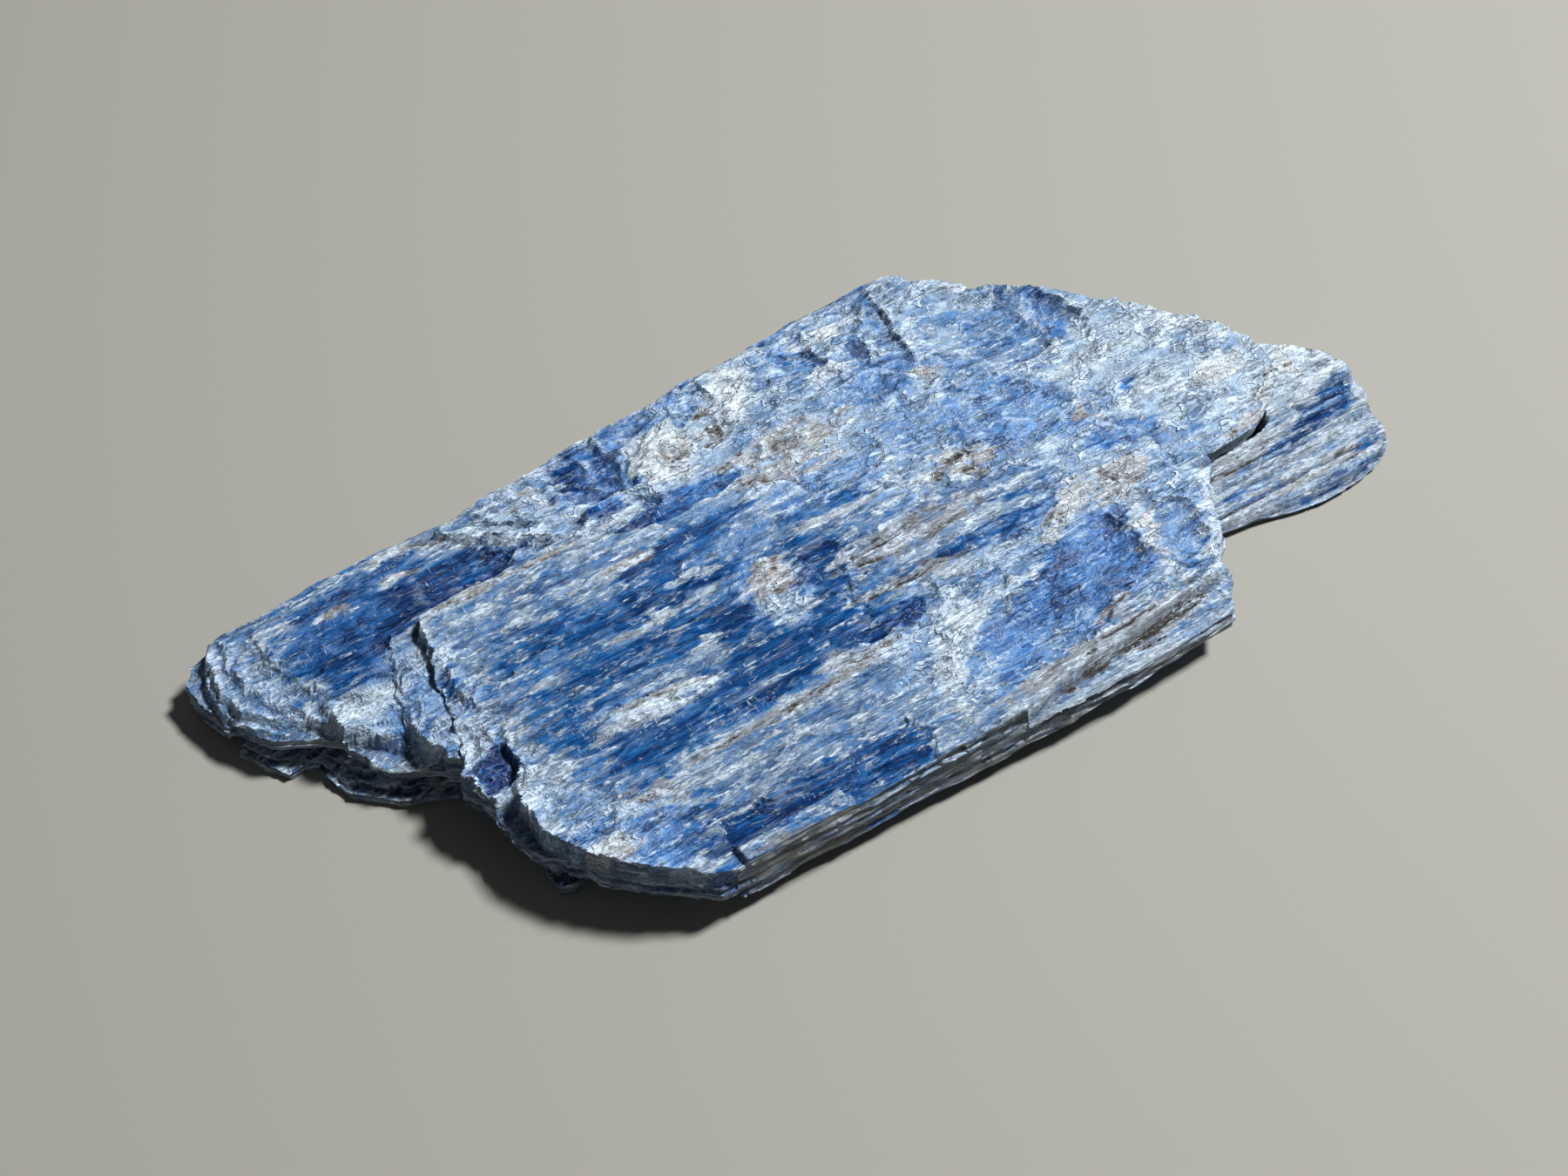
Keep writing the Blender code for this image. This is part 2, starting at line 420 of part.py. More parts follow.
def end_blade(material):
    """The bundle of laths that runs out to the right from under the back plate, highest along its far side."""
    whole = [
        (21.6, -9.8), (27.4, -10.4), (30.0, -10.7), (32.7, -11.2), (35.2, -11.7), (38.2, -11.8), (40.6, -11.3),
        (42.2, -10.5), (43.0, -9.6), (42.8, -7.4), (42.2, -6.0), (38.6, -5.6), (21.6, -6.6),
    ]  # fmt: skip
    sheets = [sheet("end_ledge", splintered(whole, 1.5, 0.3, 41), 0.0, END_LEDGE, (0.012, -0.04))]
    flank_low = [
        (21.6, -8.4), (28.0, -9.0), (35.0, -9.3), (42.2, -8.7), (42.5, -7.0), (42.3, -4.4), (38.4, -4.4),
        (36.6, -6.4), (21.6, -6.8),
    ]  # fmt: skip
    sheets.append(sheet("end_flank_low", splintered(flank_low, 1.7, 0.3, 42), 0.4, 2.3, (0, 0.1)))
    flank_high = [
        (30.4, -7.9), (36.0, -8.1), (42.6, -7.3), (42.8, -5.4), (42.4, -3.8), (38.2, -3.0), (36.9, -4.8),
        (35.2, -6.0), (33.6, -6.8), (30.4, -7.0),
    ]  # fmt: skip
    sheets.append(sheet("end_flank_high", splintered(flank_high, 1.7, 0.3, 43), 1.0, END_SHOULDER, (0, 0.15)))
    top = [(37.9, -4.9), (42.6, -5.2), (42.5, -4.0), (41.4, -2.5), (39.9, -1.1), (38.1, -0.4), (37.9, -2.6)]
    sheets.append(sheet("end_top", splintered(top, 1.3, 0.2, 44), 1.2, END_TOP, (-0.01, 0.05)))
    root = [(24.0, -6.6), (38.4, -6.2), (38.4, -1.4), (34.0, 1.0), (26.0, 1.0), (24.0, -2.0)]
    sheets.append(sheet("end_root", root, 0.0, BACK_UNDERSIDE - PARTING - 0.2, lean=0.02))
    sheets += laths("end_lath", END_LATHS, 45)
    return fused("end_blade", sheets, [], material)


def lower_blade(material):
    """The crystal that lies on the floor under the left end of the back plate, its crumpled edge showing."""
    whole = [
        (-38.9, 10.0), (-39.3, 9.3), (-38.4, 7.9), (-37.3, 6.2), (-36.2, 6.5), (-35.4, 6.2), (-35.1, 4.7),
        (-34.7, 3.3), (-34.0, 2.5), (-32.8, 1.6), (-31.5, 0.4), (-30.3, 0.0), (-29.2, 0.5), (-27.6, 2.4),
        (-26.6, 7.0), (-27.4, 11.6), (-34.4, 11.2), (-37.0, 10.0),
    ]  # fmt: skip
    sheets = [sheet("lower_main", splintered(whole, 1.2, 0.2, 51), 0.0, 1.6, (0, 0), lean=0.03)]
    rim = [
        (-38.6, 9.6), (-37.9, 8.4), (-36.8, 7.0), (-35.0, 6.9), (-34.8, 5.2), (-34.3, 3.9), (-33.3, 2.9),
        (-31.4, 1.6), (-29.6, 1.4), (-28.4, 3.0), (-28.6, 8.0), (-34.0, 10.6), (-36.8, 9.6),
    ]  # fmt: skip
    sheets.append(sheet("lower_top", splintered(rim, 1.2, 0.25, 52), 0.8, LOWER_TOP, (0.01, 0)))
    return fused("lower_blade", sheets, [], material)


def under_tip(material):
    """A short crystal under the left end of the front plate, with only its broken tip in the open."""
    whole = [
        (-25.9, -8.0), (-26.1, -9.4), (-25.9, -10.5), (-24.8, -10.9), (-23.4, -10.2), (-19.8, -9.0),
        (-18.6, -6.0), (-20.2, -4.2), (-24.3, -5.2), (-25.6, -6.4),
    ]  # fmt: skip
    sheets = [sheet("tip_main", splintered(whole, 1.3, 0.2, 61), 0.0, 1.5)]
    upper = [(-25.4, -7.8), (-25.6, -9.2), (-24.7, -10.2), (-21.0, -8.8), (-20.2, -6.0), (-24.0, -6.0)]
    sheets.append(sheet("tip_upper", splintered(upper, 1.3, 0.2, 62), 0.8, TIP_TOP, (0.02, -0.03)))
    return fused("under_tip", sheets, [], material)


def main():
    clear_scene()
    deep = kyanite("deep_blue_kyanite", (0.045, 0.12, 0.33), 0.35)
    pale = kyanite("pale_blue_kyanite", (0.24, 0.33, 0.48), 0.45)
    dark = kyanite("shaded_blue_kyanite", (0.09, 0.13, 0.2), 0.5)
    front_blade(deep)
    back_blade(deep)
    end_blade(pale)
    lower_blade(dark)
    under_tip(dark)


main()
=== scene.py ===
# %% [markdown]
# # Kyanite blade cluster
# Kyanite is an aluminium silicate that grows as long flat blades. It splits along the blades into thin
# sheets, so a hand specimen is all steps, splinters and fine lines that run one way. Deep-blue places are clear,
# unbroken crystal. Pale ones are frayed: many tiny splits scatter the light. Brown is iron stain in the cracks.
#
# Each crystal here is one closed surface. Its top is a grid of points whose height is worked out from the
# cleavage sheets, and rings of points go down from its border to make the layered walls.

import math

import bpy
import numpy as np
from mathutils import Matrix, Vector

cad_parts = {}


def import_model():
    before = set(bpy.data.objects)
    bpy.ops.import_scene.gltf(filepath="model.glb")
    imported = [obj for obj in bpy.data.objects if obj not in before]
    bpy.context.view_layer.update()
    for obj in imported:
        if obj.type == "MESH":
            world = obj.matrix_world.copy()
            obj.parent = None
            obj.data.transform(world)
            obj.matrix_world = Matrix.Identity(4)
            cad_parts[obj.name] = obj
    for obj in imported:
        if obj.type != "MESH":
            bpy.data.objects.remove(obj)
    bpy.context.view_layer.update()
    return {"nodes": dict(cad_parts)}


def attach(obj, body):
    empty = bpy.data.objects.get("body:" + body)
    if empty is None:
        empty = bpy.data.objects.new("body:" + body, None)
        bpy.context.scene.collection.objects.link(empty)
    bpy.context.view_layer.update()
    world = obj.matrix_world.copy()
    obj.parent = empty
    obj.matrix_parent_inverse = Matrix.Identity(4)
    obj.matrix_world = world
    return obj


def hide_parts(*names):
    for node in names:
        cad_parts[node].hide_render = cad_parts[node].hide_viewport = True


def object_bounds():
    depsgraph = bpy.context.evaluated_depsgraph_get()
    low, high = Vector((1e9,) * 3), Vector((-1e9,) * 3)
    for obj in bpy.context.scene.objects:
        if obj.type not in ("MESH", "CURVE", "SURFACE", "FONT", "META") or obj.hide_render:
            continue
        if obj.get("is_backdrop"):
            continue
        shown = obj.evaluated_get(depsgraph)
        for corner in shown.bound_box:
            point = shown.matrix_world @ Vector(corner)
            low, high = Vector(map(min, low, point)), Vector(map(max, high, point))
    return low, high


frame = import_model()
print("nodes:", ", ".join(sorted(frame["nodes"])))

# %% [markdown]
# ## Plan and world
# All shapes are drawn in a plan in millimetres: X along the blades, Y across them, Z up from the floor. The
# world is in metres with the cluster's middle at the origin, so one function carries the plan there.

# %% From the plan to the world
MM = 0.001
CENTRE = (1.05, 0.4)  # the plan's point under the middle of the cluster


def world(x, y, z):
    """Points in metres: the plan's x and y less the centre, and z, each times a thousandth."""
    return np.stack([x - CENTRE[0], y - CENTRE[1], z], axis=-1) * MM


# %% [markdown]
# ## Camera
# A close view from above and in front, a little to the left. The camera looks at a point on the floor near the
# cluster's middle from 183 mm away, 58 degrees above the floor, through a 60 mm lens on a 36 mm sensor.

# %% Camera
LOOK_AT = (-1.2, 2.2, 0.0)
CAMERA_AT = (-51.6, -80.7, 155.2)


def aimed(name, data, place, target):
    """An object for the data at `place`, with its -Z axis turned to the target, both in plan mm."""
    item = bpy.data.objects.new(name, data)
    start, end = Vector(world(*place)), Vector(world(*target))
    item.location = start
    item.rotation_euler = (end - start).to_track_quat("-Z", "Y").to_euler()
    bpy.context.scene.collection.objects.link(item)
    return item


camera_data = bpy.data.cameras.new("camera")
camera_data.lens = 60
camera_data.sensor_width = 36
camera_data.sensor_fit = "HORIZONTAL"
camera_data.clip_start = 0.01
bpy.context.scene.camera = aimed("camera", camera_data, CAMERA_AT, LOOK_AT)
print("camera distance, mm:", round(math.dist(CAMERA_AT, LOOK_AT), 1))

# %% [markdown]
# ## Floor and light
# A small square light hangs high at the right and slightly in front, so the tops are bright and the walls that
# face left are in shade. It stands off to the side of the camera, where the glassy tops don't mirror it. A weak
# even light from all around fills the shadows.

# %% Colour, floor and lights
def linear(code, alpha=1.0):
    """An sRGB hex colour as linear numbers: each channel c becomes ((c + 0.055) / 1.055) to the power 2.4, or
    c / 12.92 where it is dark."""
    channels = np.array([int(code[k : k + 2], 16) for k in (1, 3, 5)]) / 255
    curved = np.where(channels > 0.04045, ((channels + 0.055) / 1.055) ** 2.4, channels / 12.92)
    return (*curved.tolist(), alpha)


lamp = bpy.data.lights.new("key_light", "AREA")
lamp.shape = "SQUARE"
lamp.size = 60 * MM
lamp.energy = 3.95  # watts
aimed("key_light", lamp, (214.0, -43.0, 400.0), (0.0, 0.0, 0.0))
bpy.context.scene.view_settings.view_transform = "Standard"

sky = bpy.data.worlds.new("studio")
sky.use_nodes = True
sky.node_tree.nodes["Background"].inputs["Color"].default_value = linear("#dfe4ea")
sky.node_tree.nodes["Background"].inputs["Strength"].default_value = 0.12
bpy.context.scene.world = sky

floor_mesh = bpy.data.meshes.new("floor")
FLOOR_HALF = 2.0  # metres
floor_corners = [(FLOOR_HALF * i, FLOOR_HALF * j, 0) for i, j in ((-1, -1), (1, -1), (1, 1), (-1, 1))]
floor_mesh.from_pydata(floor_corners, [], [(0, 1, 2, 3)])
floor = bpy.data.objects.new("floor", floor_mesh)
bpy.context.scene.collection.objects.link(floor)
paper = bpy.data.materials.new("pale_studio_paper")
paper.use_nodes = True
paper.node_tree.nodes["Principled BSDF"].inputs["Base Color"].default_value = linear("#888780")
paper.node_tree.nodes["Principled BSDF"].inputs["Roughness"].default_value = 0.9
floor_mesh.materials.append(paper)
floor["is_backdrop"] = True

# %% [markdown]
# ## Noise
# Natural detail needs numbers that look random but change smoothly. Everything rough here comes from one such
# function, stretched along the blades to make streaks, laths and splinters.

# %% Smooth noise and streaks
def smooth_noise(x, y, seed):
    """Noise from -1 to 1: a random number sits at each whole point of a grid, and a point between four of them
    takes their mean, weighted by how near each one is on an S-shaped curve."""
    table = np.random.default_rng(seed).uniform(-1, 1, (256, 256))
    column, row = np.floor(x).astype(int), np.floor(y).astype(int)
    fx, fy = x - column, y - row
    fx, fy = fx * fx * (3 - 2 * fx), fy * fy * (3 - 2 * fy)
    column, row = column & 255, row & 255
    right, above = (column + 1) & 255, (row + 1) & 255
    low = table[column, row] * (1 - fx) + table[right, row] * fx
    high = table[column, above] * (1 - fx) + table[right, above] * fx
    return low * (1 - fy) + high * fy


def streaks(x, y, length, width, seed, octaves=2):
    """Noise with features `length` mm long and `width` mm wide. Each further octave is half as large and half
    as strong, and the sum is divided by the strengths."""
    total, strength, share = 0.0, 0.0, 1.0
    for k in range(octaves):
        scale = 2**k
        total = total + share * smooth_noise(x * scale / length + 17.3 * k, y * scale / width + 9.1 * k, seed + k)
        strength += share
        share *= 0.5
    return total / strength


def ease(low, high, value):
    """0 below `low`, 1 above `high`, and an S-shaped curve between."""
    t = np.clip((value - low) / (high - low), 0, 1)
    return t * t * (3 - 2 * t)


# %% [markdown]
# ## Relief
# A cleavage sheet is an outline with a height and a slight dip. A sheet lifts the surface to its own height
# inside its outline, and its border is a steep riser, frayed along the blades. Chips leave bowls, and thin laths
# stand up as long low roofs.

# %% Sheets, bowls and roofs
def depth_inside(x, y, outline):
    """How far each point is from the nearest side of the outline, in mm, with a minus outside. The nearest side
    is the least distance to any of its straight pieces. A point is inside if a line from it crosses the outline
    an odd number of times."""
    corners = np.array(outline, float)
    nearest = np.full(x.shape, np.inf)
    inside = np.zeros(x.shape, bool)
    for (ax, ay), (bx, by) in zip(corners, np.roll(corners, -1, axis=0), strict=True):
        ex, ey = bx - ax, by - ay
        t = np.clip(((x - ax) * ex + (y - ay) * ey) / (ex * ex + ey * ey), 0, 1)
        nearest = np.minimum(nearest, (x - ax - t * ex) ** 2 + (y - ay - t * ey) ** 2)
        if ay != by:
            inside ^= ((ay > y) != (by > y)) & (x < ex * (y - ay) / ey + ax)
    return np.where(inside, 1, -1) * np.sqrt(nearest)


def add_sheet(z, x, y, outline, level, dip=(0.0, 0.0), seed=0, riser=0.14, fray=0.35):
    """Lifts `z` to the sheet's plane inside the outline. The points are first pushed along the blades by narrow
    streaks, which turns a side that crosses the blades into splinters. The plane waves a little, so that its
    riser is high in some places and fades out in others."""
    wx = x + 1.2 * fray * streaks(x, y, 2.4, 0.8, seed, 2) + 0.9 * fray * streaks(x, y, 5.0, 1.8, seed + 5, 2)
    wy = y + 0.6 * fray * streaks(x, y, 3.0, 1.6, seed + 9, 3)
    mx, my = np.mean(outline, axis=0)
    plane = level + dip[0] * (x - mx) + dip[1] * (y - my) + 0.16 * streaks(x, y, 7.0, 1.5, seed + 2, 3)
    cover = ease(-riser / 2, riser / 2, depth_inside(wx, wy, outline))
    return np.where(plane > z, z + (plane - z) * cover, z)


def add_patches(tone, x, y, patches, seed, share=1.0):
    """The tone with `share` of each patch of (tone, outline) laid over it. Streaks push the borders about, but
    they stay crisp."""
    wx = x + 0.5 * streaks(x, y, 2.0, 0.4, seed, 2)
    wy = y + 0.4 * streaks(x, y, 1.2, 0.9, seed + 3, 2)
    for value, outline in patches:
        tone = tone + share * (value - tone) * ease(-0.08, 0.08, depth_inside(wx, wy, outline))
    return tone


def rim_along(x, y, points, seed):
    """1 on a crooked line through the points and 0 past 0.4 mm from it, with gaps along it."""
    wx, wy = x + 0.3 * streaks(x, y, 1.5, 0.6, seed, 2), y + 0.5 * streaks(x, y, 1.8, 1.2, seed + 4, 3)
    nearest = np.abs(depth_inside(wx, wy, [*points, *points[-2:0:-1]]))
    return ease(0.45, 0.1, nearest) * ease(-0.25, 0.1, streaks(x, y, 2.5, 2.5, seed + 8, 2))


def lift_off(z, x, y, outline, level, dip=(0.0, 0.0), seed=0, riser=0.3, fray=0.45):
    """The opposite of a sheet: a flake has come off, so the surface drops to a lower plane inside the outline."""
    return -add_sheet(-z, x, y, outline, -level, (-dip[0], -dip[1]), seed, riser, fray)


def radius_in(x, y, middle, radii, turn):
    """How far each point is from the middle along and across a line `turn` degrees from +X, in units of the two
    radii."""
    angle = math.radians(turn)
    dx, dy = x - middle[0], y - middle[1]
    along = (dx * math.cos(angle) + dy * math.sin(angle)) / radii[0]
    across = (dy * math.cos(angle) - dx * math.sin(angle)) / radii[1]
    return along, across


def add_bowl(z, x, y, middle, radii, turn, depth, surface):
    """A shell-shaped chip: the surface sinks by `depth` times one less the squared radius, with its deepest
    place pushed to one side, so that one wall is steep, and with faint ribs at even steps of the radius. Part
    of the fine relief that was there stays on the bowl."""
    wx, wy = x + 0.5 * streaks(x, y, 2.5, 0.9, 71), y + 0.35 * streaks(x, y, 2.0, 1.0, 72)
    along, across = radius_in(wx, wy, middle, radii, turn)
    across = across - 0.25 * (1 - np.clip(along**2 + across**2, 0, 1))
    r2 = np.clip(along**2 + across**2, 0, 1)
    ribs = 0.03 * np.sin(11 * np.sqrt(r2) + 0.8 * streaks(x, y, 2.0, 2.0, 73)) * (1 - r2)
    bowl = surface - depth * ((1 - r2) ** 0.8 + ribs) + 0.35 * (z - surface)
    return np.minimum(z, np.where(r2 < 1, bowl, z))


def along_line(x, y, start, end):
    """How far each point lies along the line from start to end and to the left of it, and the line's length."""
    (x0, y0), (x1, y1) = start, end
    length = math.hypot(x1 - x0, y1 - y0)
    ux, uy = (x1 - x0) / length, (y1 - y0) / length
    return (x - x0) * ux + (y - y0) * uy, (y - y0) * ux - (x - x0) * uy, length


def add_roof(z, x, y, start, end, width, level, rise, skew=0.0):
    """A splinter: a long low roof from start to end, `width` wide, with its crest `skew` of the half width to
    one side. It narrows to a point at both ends."""
    along, aside, length = along_line(x, y, start, end)
    t, side = along / length, aside / (width / 2)
    taper = np.clip(np.minimum(t, 1 - t) / 0.2, 0, 1)
    slope = np.where(side > skew, (side - skew) / (1 - skew), (skew - side) / (1 + skew))
    height = level + (rise - level) * (1 - slope / np.maximum(taper, 1e-3))
    return np.where((t > 0) & (t < 1) & (height > level), np.maximum(z, height), z)


def stack(z, x, y, sheets, roofs, flakes, seed):
    """Adds the sheets in order, then the splinters, and then takes the lost flakes off. A sheet or a flake is
    (height, dip, outline), with the riser's width and the fray after them where they differ."""
    for k, (level, dip, outline, *edge) in enumerate(sheets):
        z = add_sheet(z, x, y, outline, level, dip, seed + 11 * k, *edge)
    for roof in roofs:
        z = add_roof(z, x, y, *roof)
    for k, (level, dip, outline, *edge) in enumerate(flakes):
        z = lift_off(z, x, y, outline, level, dip, seed + 200 + 11 * k, *edge)
    return z


# %% [markdown]
# ## Fine cleavage
# Broken kyanite never ends in one clean plane. The relief is cut once more into sheets a fifth of a millimetre
# thick, whose borders wander along the blades. Frayed places get flakes and crumbs, clear ones stay nearly flat,
# and short cracks run across. Where the blades are crushed, no lines run along them: the surface is crumpled
# into crooked folds instead.

# %% Cutting a relief into thin sheets
LEDGE = 0.3  # mm from one thick sheet to the next
PITCH = 0.15  # and from one thin sheet to the next


def cleave(z, x, y, ragged, seed, lined=1.0):
    """Cuts the relief into ledges and then into thin steps: the height, plus long streaks, is counted in sheets,
    and only the last part of each count rises. Flakes, pits, crumbs and cross cracks are added where `ragged`,
    from 0 to 1, is high. Where `lined` is 0 instead of 1, the surface is folded first and its sheets don't run
    along the blades. Risers that are already steep stay plain."""
    crushed = 1 - lined
    folds = 0.2 * (1 - 3 * np.abs(streaks(x, y, 2.4, 1.7, seed + 65, 2)))
    folds = folds + 0.06 * (1 - 3 * np.abs(streaks(x, y, 1.0, 0.8, seed + 68)))
    z = z + crushed * (0.3 + 0.7 * ragged) * folds
    ledge = z / LEDGE + lined * (0.9 + 0.8 * ragged) * streaks(x, y, 9.0, 1.4, seed + 90, 3)
    ledge = ledge + crushed * streaks(x, y, 3.0, 2.2, seed + 95, 3)
    z = LEDGE * (np.floor(ledge) + ease(0.35 + 0.35 * lined, 1.0, ledge - np.floor(ledge)))
    count = z / PITCH + lined * (0.4 + 0.8 * ragged) * streaks(x, y, 6.0, 0.8, seed, 3)
    count = count + lined * (0.3 + 0.5 * ragged) * streaks(x, y, 1.3, 0.4, seed + 10, 2)
    stepped = PITCH * (np.floor(count) + ease(0.7, 1.0, count - np.floor(count)))
    flakes = 0.1 * ease(0.2, 0.3, streaks(x, y, 2.2, 0.6, seed + 20, 2))
    pits = 0.12 * ease(0.24, 0.34, streaks(x, y, 1.6, 0.7, seed + 30, 2))
    cross = 0.05 * streaks(x, y, 0.8, 1.6, seed + 50)
    crumbs = 0.12 * streaks(x, y, 1.1, 0.7, seed + 55)
    crack = 0.1 * ease(0.06, 0.0, np.abs(streaks(x, y, 0.9, 5.0, seed + 60)))
    broken = ease(-0.1, 0.5, streaks(x, y, 5.0, 3.0, seed + 70))
    rugged = ease(0.0, 0.5, streaks(x, y, 4.0, 2.0, seed + 80)) * ragged
    calm = ease(0.16, 0.05, np.hypot(*np.gradient(z)))
    rough = (0.2 + 0.8 * ragged) * (flakes - pits + cross)
    relief = stepped + rough + rugged * crumbs - crack * broken * (0.4 + 0.6 * ragged)
    return z + (relief - z) * calm * (0.4 + 0.6 * lined)


def shaded_spots(x, y, base, spots, fuzz, seed):
    """A tone over the surface: `base`, with each spot of (x, y, half length, half width, turn, value) laid over
    what is there. Its border is frayed by streaks of `fuzz` and eaten into by finer noise, so that no oval
    shows."""
    wx = x + 1.3 * fuzz * streaks(x, y, 1.7, 0.35, seed, 4) + 1.5 * fuzz * streaks(x, y, 9.0, 0.45, seed + 12, 2)
    wy = y + 0.5 * fuzz * streaks(x, y, 2.2, 0.6, seed + 3, 3)
    eaten = 0.5 * streaks(x, y, 1.1, 0.4, seed + 6, 3)
    tone = np.full(x.shape, float(base))
    for sx, sy, long, wide, turn, value in spots:
        along, across = radius_in(wx, wy, (sx, sy), (long, wide), turn)
        cover = ease(1.35, 0.85, np.hypot(along, across) + eaten)
        tone += (value - tone) * cover
    return tone


# %% [markdown]
# ## From outline to grid
# A crystal's border is four chains of straight pieces: front, right, back and left. A patch carries a square
# grid onto them: each point is a blend of the four chains, so the grid's edge follows the border and its inside
# spreads evenly.

# %% Chains and patches
def chain(points, shares):
    """Points along a chain at the given shares of its length."""
    corners = np.array(points, float)
    steps = np.hypot(*np.diff(corners, axis=0).T)
    run = np.concatenate([[0], np.cumsum(steps)]) / steps.sum()
    return np.interp(shares, run, corners[:, 0]), np.interp(shares, run, corners[:, 1])


def patch(border, u, v):
    """A Coons patch: the blend of front and back by v, plus the blend of left and right by u, less the blend of
    the four corners by both."""
    front, right, back, left = border
    out = []
    fronts, backs = chain(front, u), chain(back, u)
    lefts, rights = chain(left, v), chain(right, v)
    for axis in (0, 1):
        corners = (1 - u) * (1 - v) * front[0][axis] + u * (1 - v) * front[-1][axis]
        corners = corners + (1 - u) * v * back[0][axis] + u * v * back[-1][axis]
        ruled = (1 - v) * fronts[axis] + v * backs[axis] + (1 - u) * lefts[axis] + u * rights[axis]
        out.append(ruled - corners)
    return out


def frayed_border(x, y, amount, seed):
    """A grid pushed along the blades by narrow streaks, so that its border is splintered. The push is weak near
    the cluster's far edge, past y = 16, which runs straight."""
    amount = amount * (1 - 0.75 * ease(15.4, 16.8, y))
    push = amount * streaks(x, y, 3.0, 0.4, seed) + 0.6 * amount * streaks(x, y, 5.0, 1.3, seed + 1)
    return x + push, y + 0.25 * amount * streaks(x, y, 1.6, 2.0, seed + 2)


# %% [markdown]
# ## Closing a crystal
# From the grid's border, rings of points go down the wall. The wall is layered like the edge of a book: each
# thin sheet reaches out by its own amount, which changes along the wall. A last ring turns in under the crystal,
# and one flat face closes it.

# %% Rings, faces and attributes
WALL_ROWS = 20
UNDER_ROWS = 10
TOP_LIMIT = 7.7  # mm; higher points are pressed into the next 0.15 mm


def wall_reach(x, y, z, seed):
    """How far the wall stands out at a height: each sheet, 0.3 to 0.6 mm thick, has its own streak of noise
    along the wall, and it jumps from sheet to sheet."""
    level = z / 0.42 + 0.7 * smooth_noise(x / 6, y / 6, seed)
    sheet_number = np.floor(level)
    run = x / 5 + y / 2.5
    reach_out = smooth_noise(run + 31.7 * sheet_number, sheet_number * 5.3, seed + 1)
    fine = smooth_noise(run * 4 + 13.1 * np.floor(level * 2.6), np.floor(level * 2.6) * 3.7, seed + 2)
    return 0.26 * reach_out + 0.1 * fine


def closed_mesh(name, top, rings, attributes):
    """One mesh from the top grid (u by v points) and the rings of points under its border. Faces are whole
    arrays of corner numbers: the top's squares, the squares between one ring and the next, and a last face."""
    nu, nv = top.shape[:2]
    number = np.arange(nu * nv).reshape(nu, nv)
    tops = np.stack([number[:-1, :-1], number[1:, :-1], number[1:, 1:], number[:-1, 1:]], axis=-1).reshape(-1, 4)
    edge = border_numbers(number)
    around = len(edge)
    lower = nu * nv + np.arange(len(rings) * around).reshape(-1, around)
    loops = np.concatenate([edge[None], lower])
    turned = np.roll(loops, -1, axis=1)
    walls = np.stack([loops[:-1], loops[1:], turned[1:], turned[:-1]], axis=-1).reshape(-1, 4)
    corners = np.concatenate([tops.ravel(), walls.ravel(), loops[-1][::-1]])
    sides = np.concatenate([np.full(len(tops) + len(walls), 4), [around]])
    points = np.concatenate([top.reshape(-1, 3), rings.reshape(-1, 3)])
    mesh = bpy.data.meshes.new(name)
    mesh.vertices.add(len(points))
    mesh.vertices.foreach_set("co", points.ravel())
    mesh.loops.add(len(corners))
    mesh.loops.foreach_set("vertex_index", corners)
    mesh.polygons.add(len(sides))
    mesh.polygons.foreach_set("loop_start", np.concatenate([[0], np.cumsum(sides)[:-1]]))
    mesh.update(calc_edges=True)
    for key, values in attributes.items():
        mesh.attributes.new(key, "FLOAT", "POINT").data.foreach_set("value", values.astype(np.float32))
    mesh.shade_smooth()
    mesh.set_sharp_from_angle(angle=math.radians(38))
    mesh.validate()
    return mesh


def border_numbers(number):
    """The grid's border, once round, anticlockwise seen from above."""
    return np.concatenate([number[:-1, 0], number[-1, :-1], number[:0:-1, -1], number[0, :0:-1]])


def wear_and_shade_rise(z, cells):
    """How far each point of a grid stands above the mean of its neighbours, in mm. The mean is of copies of the
    grid moved by `cells` each way."""
    padded = np.pad(z, cells, mode="edge")
    nu, nv = z.shape
    total = 0.0
    for du in (-cells, 0, cells):
        for dv in (-cells, 0, cells):
            total = total + padded[cells + du : cells + du + nu, cells + dv : cells + dv + nv]
    return z - total / 9


def wall_look(x, y, z, edge_tone):
    """Tone and stain of a wall: thin layers that change with height, part of the tone of the edge above."""
    layer = smooth_noise(x / 4 + y / 3, z / 0.22, 91)
    tone = np.clip(0.4 * edge_tone + 0.36 + 0.45 * layer, 0.1, 0.95)
    return tone, np.clip(0.25 + 0.6 * smooth_noise(x / 5, z / 0.35, 92), 0, 1)


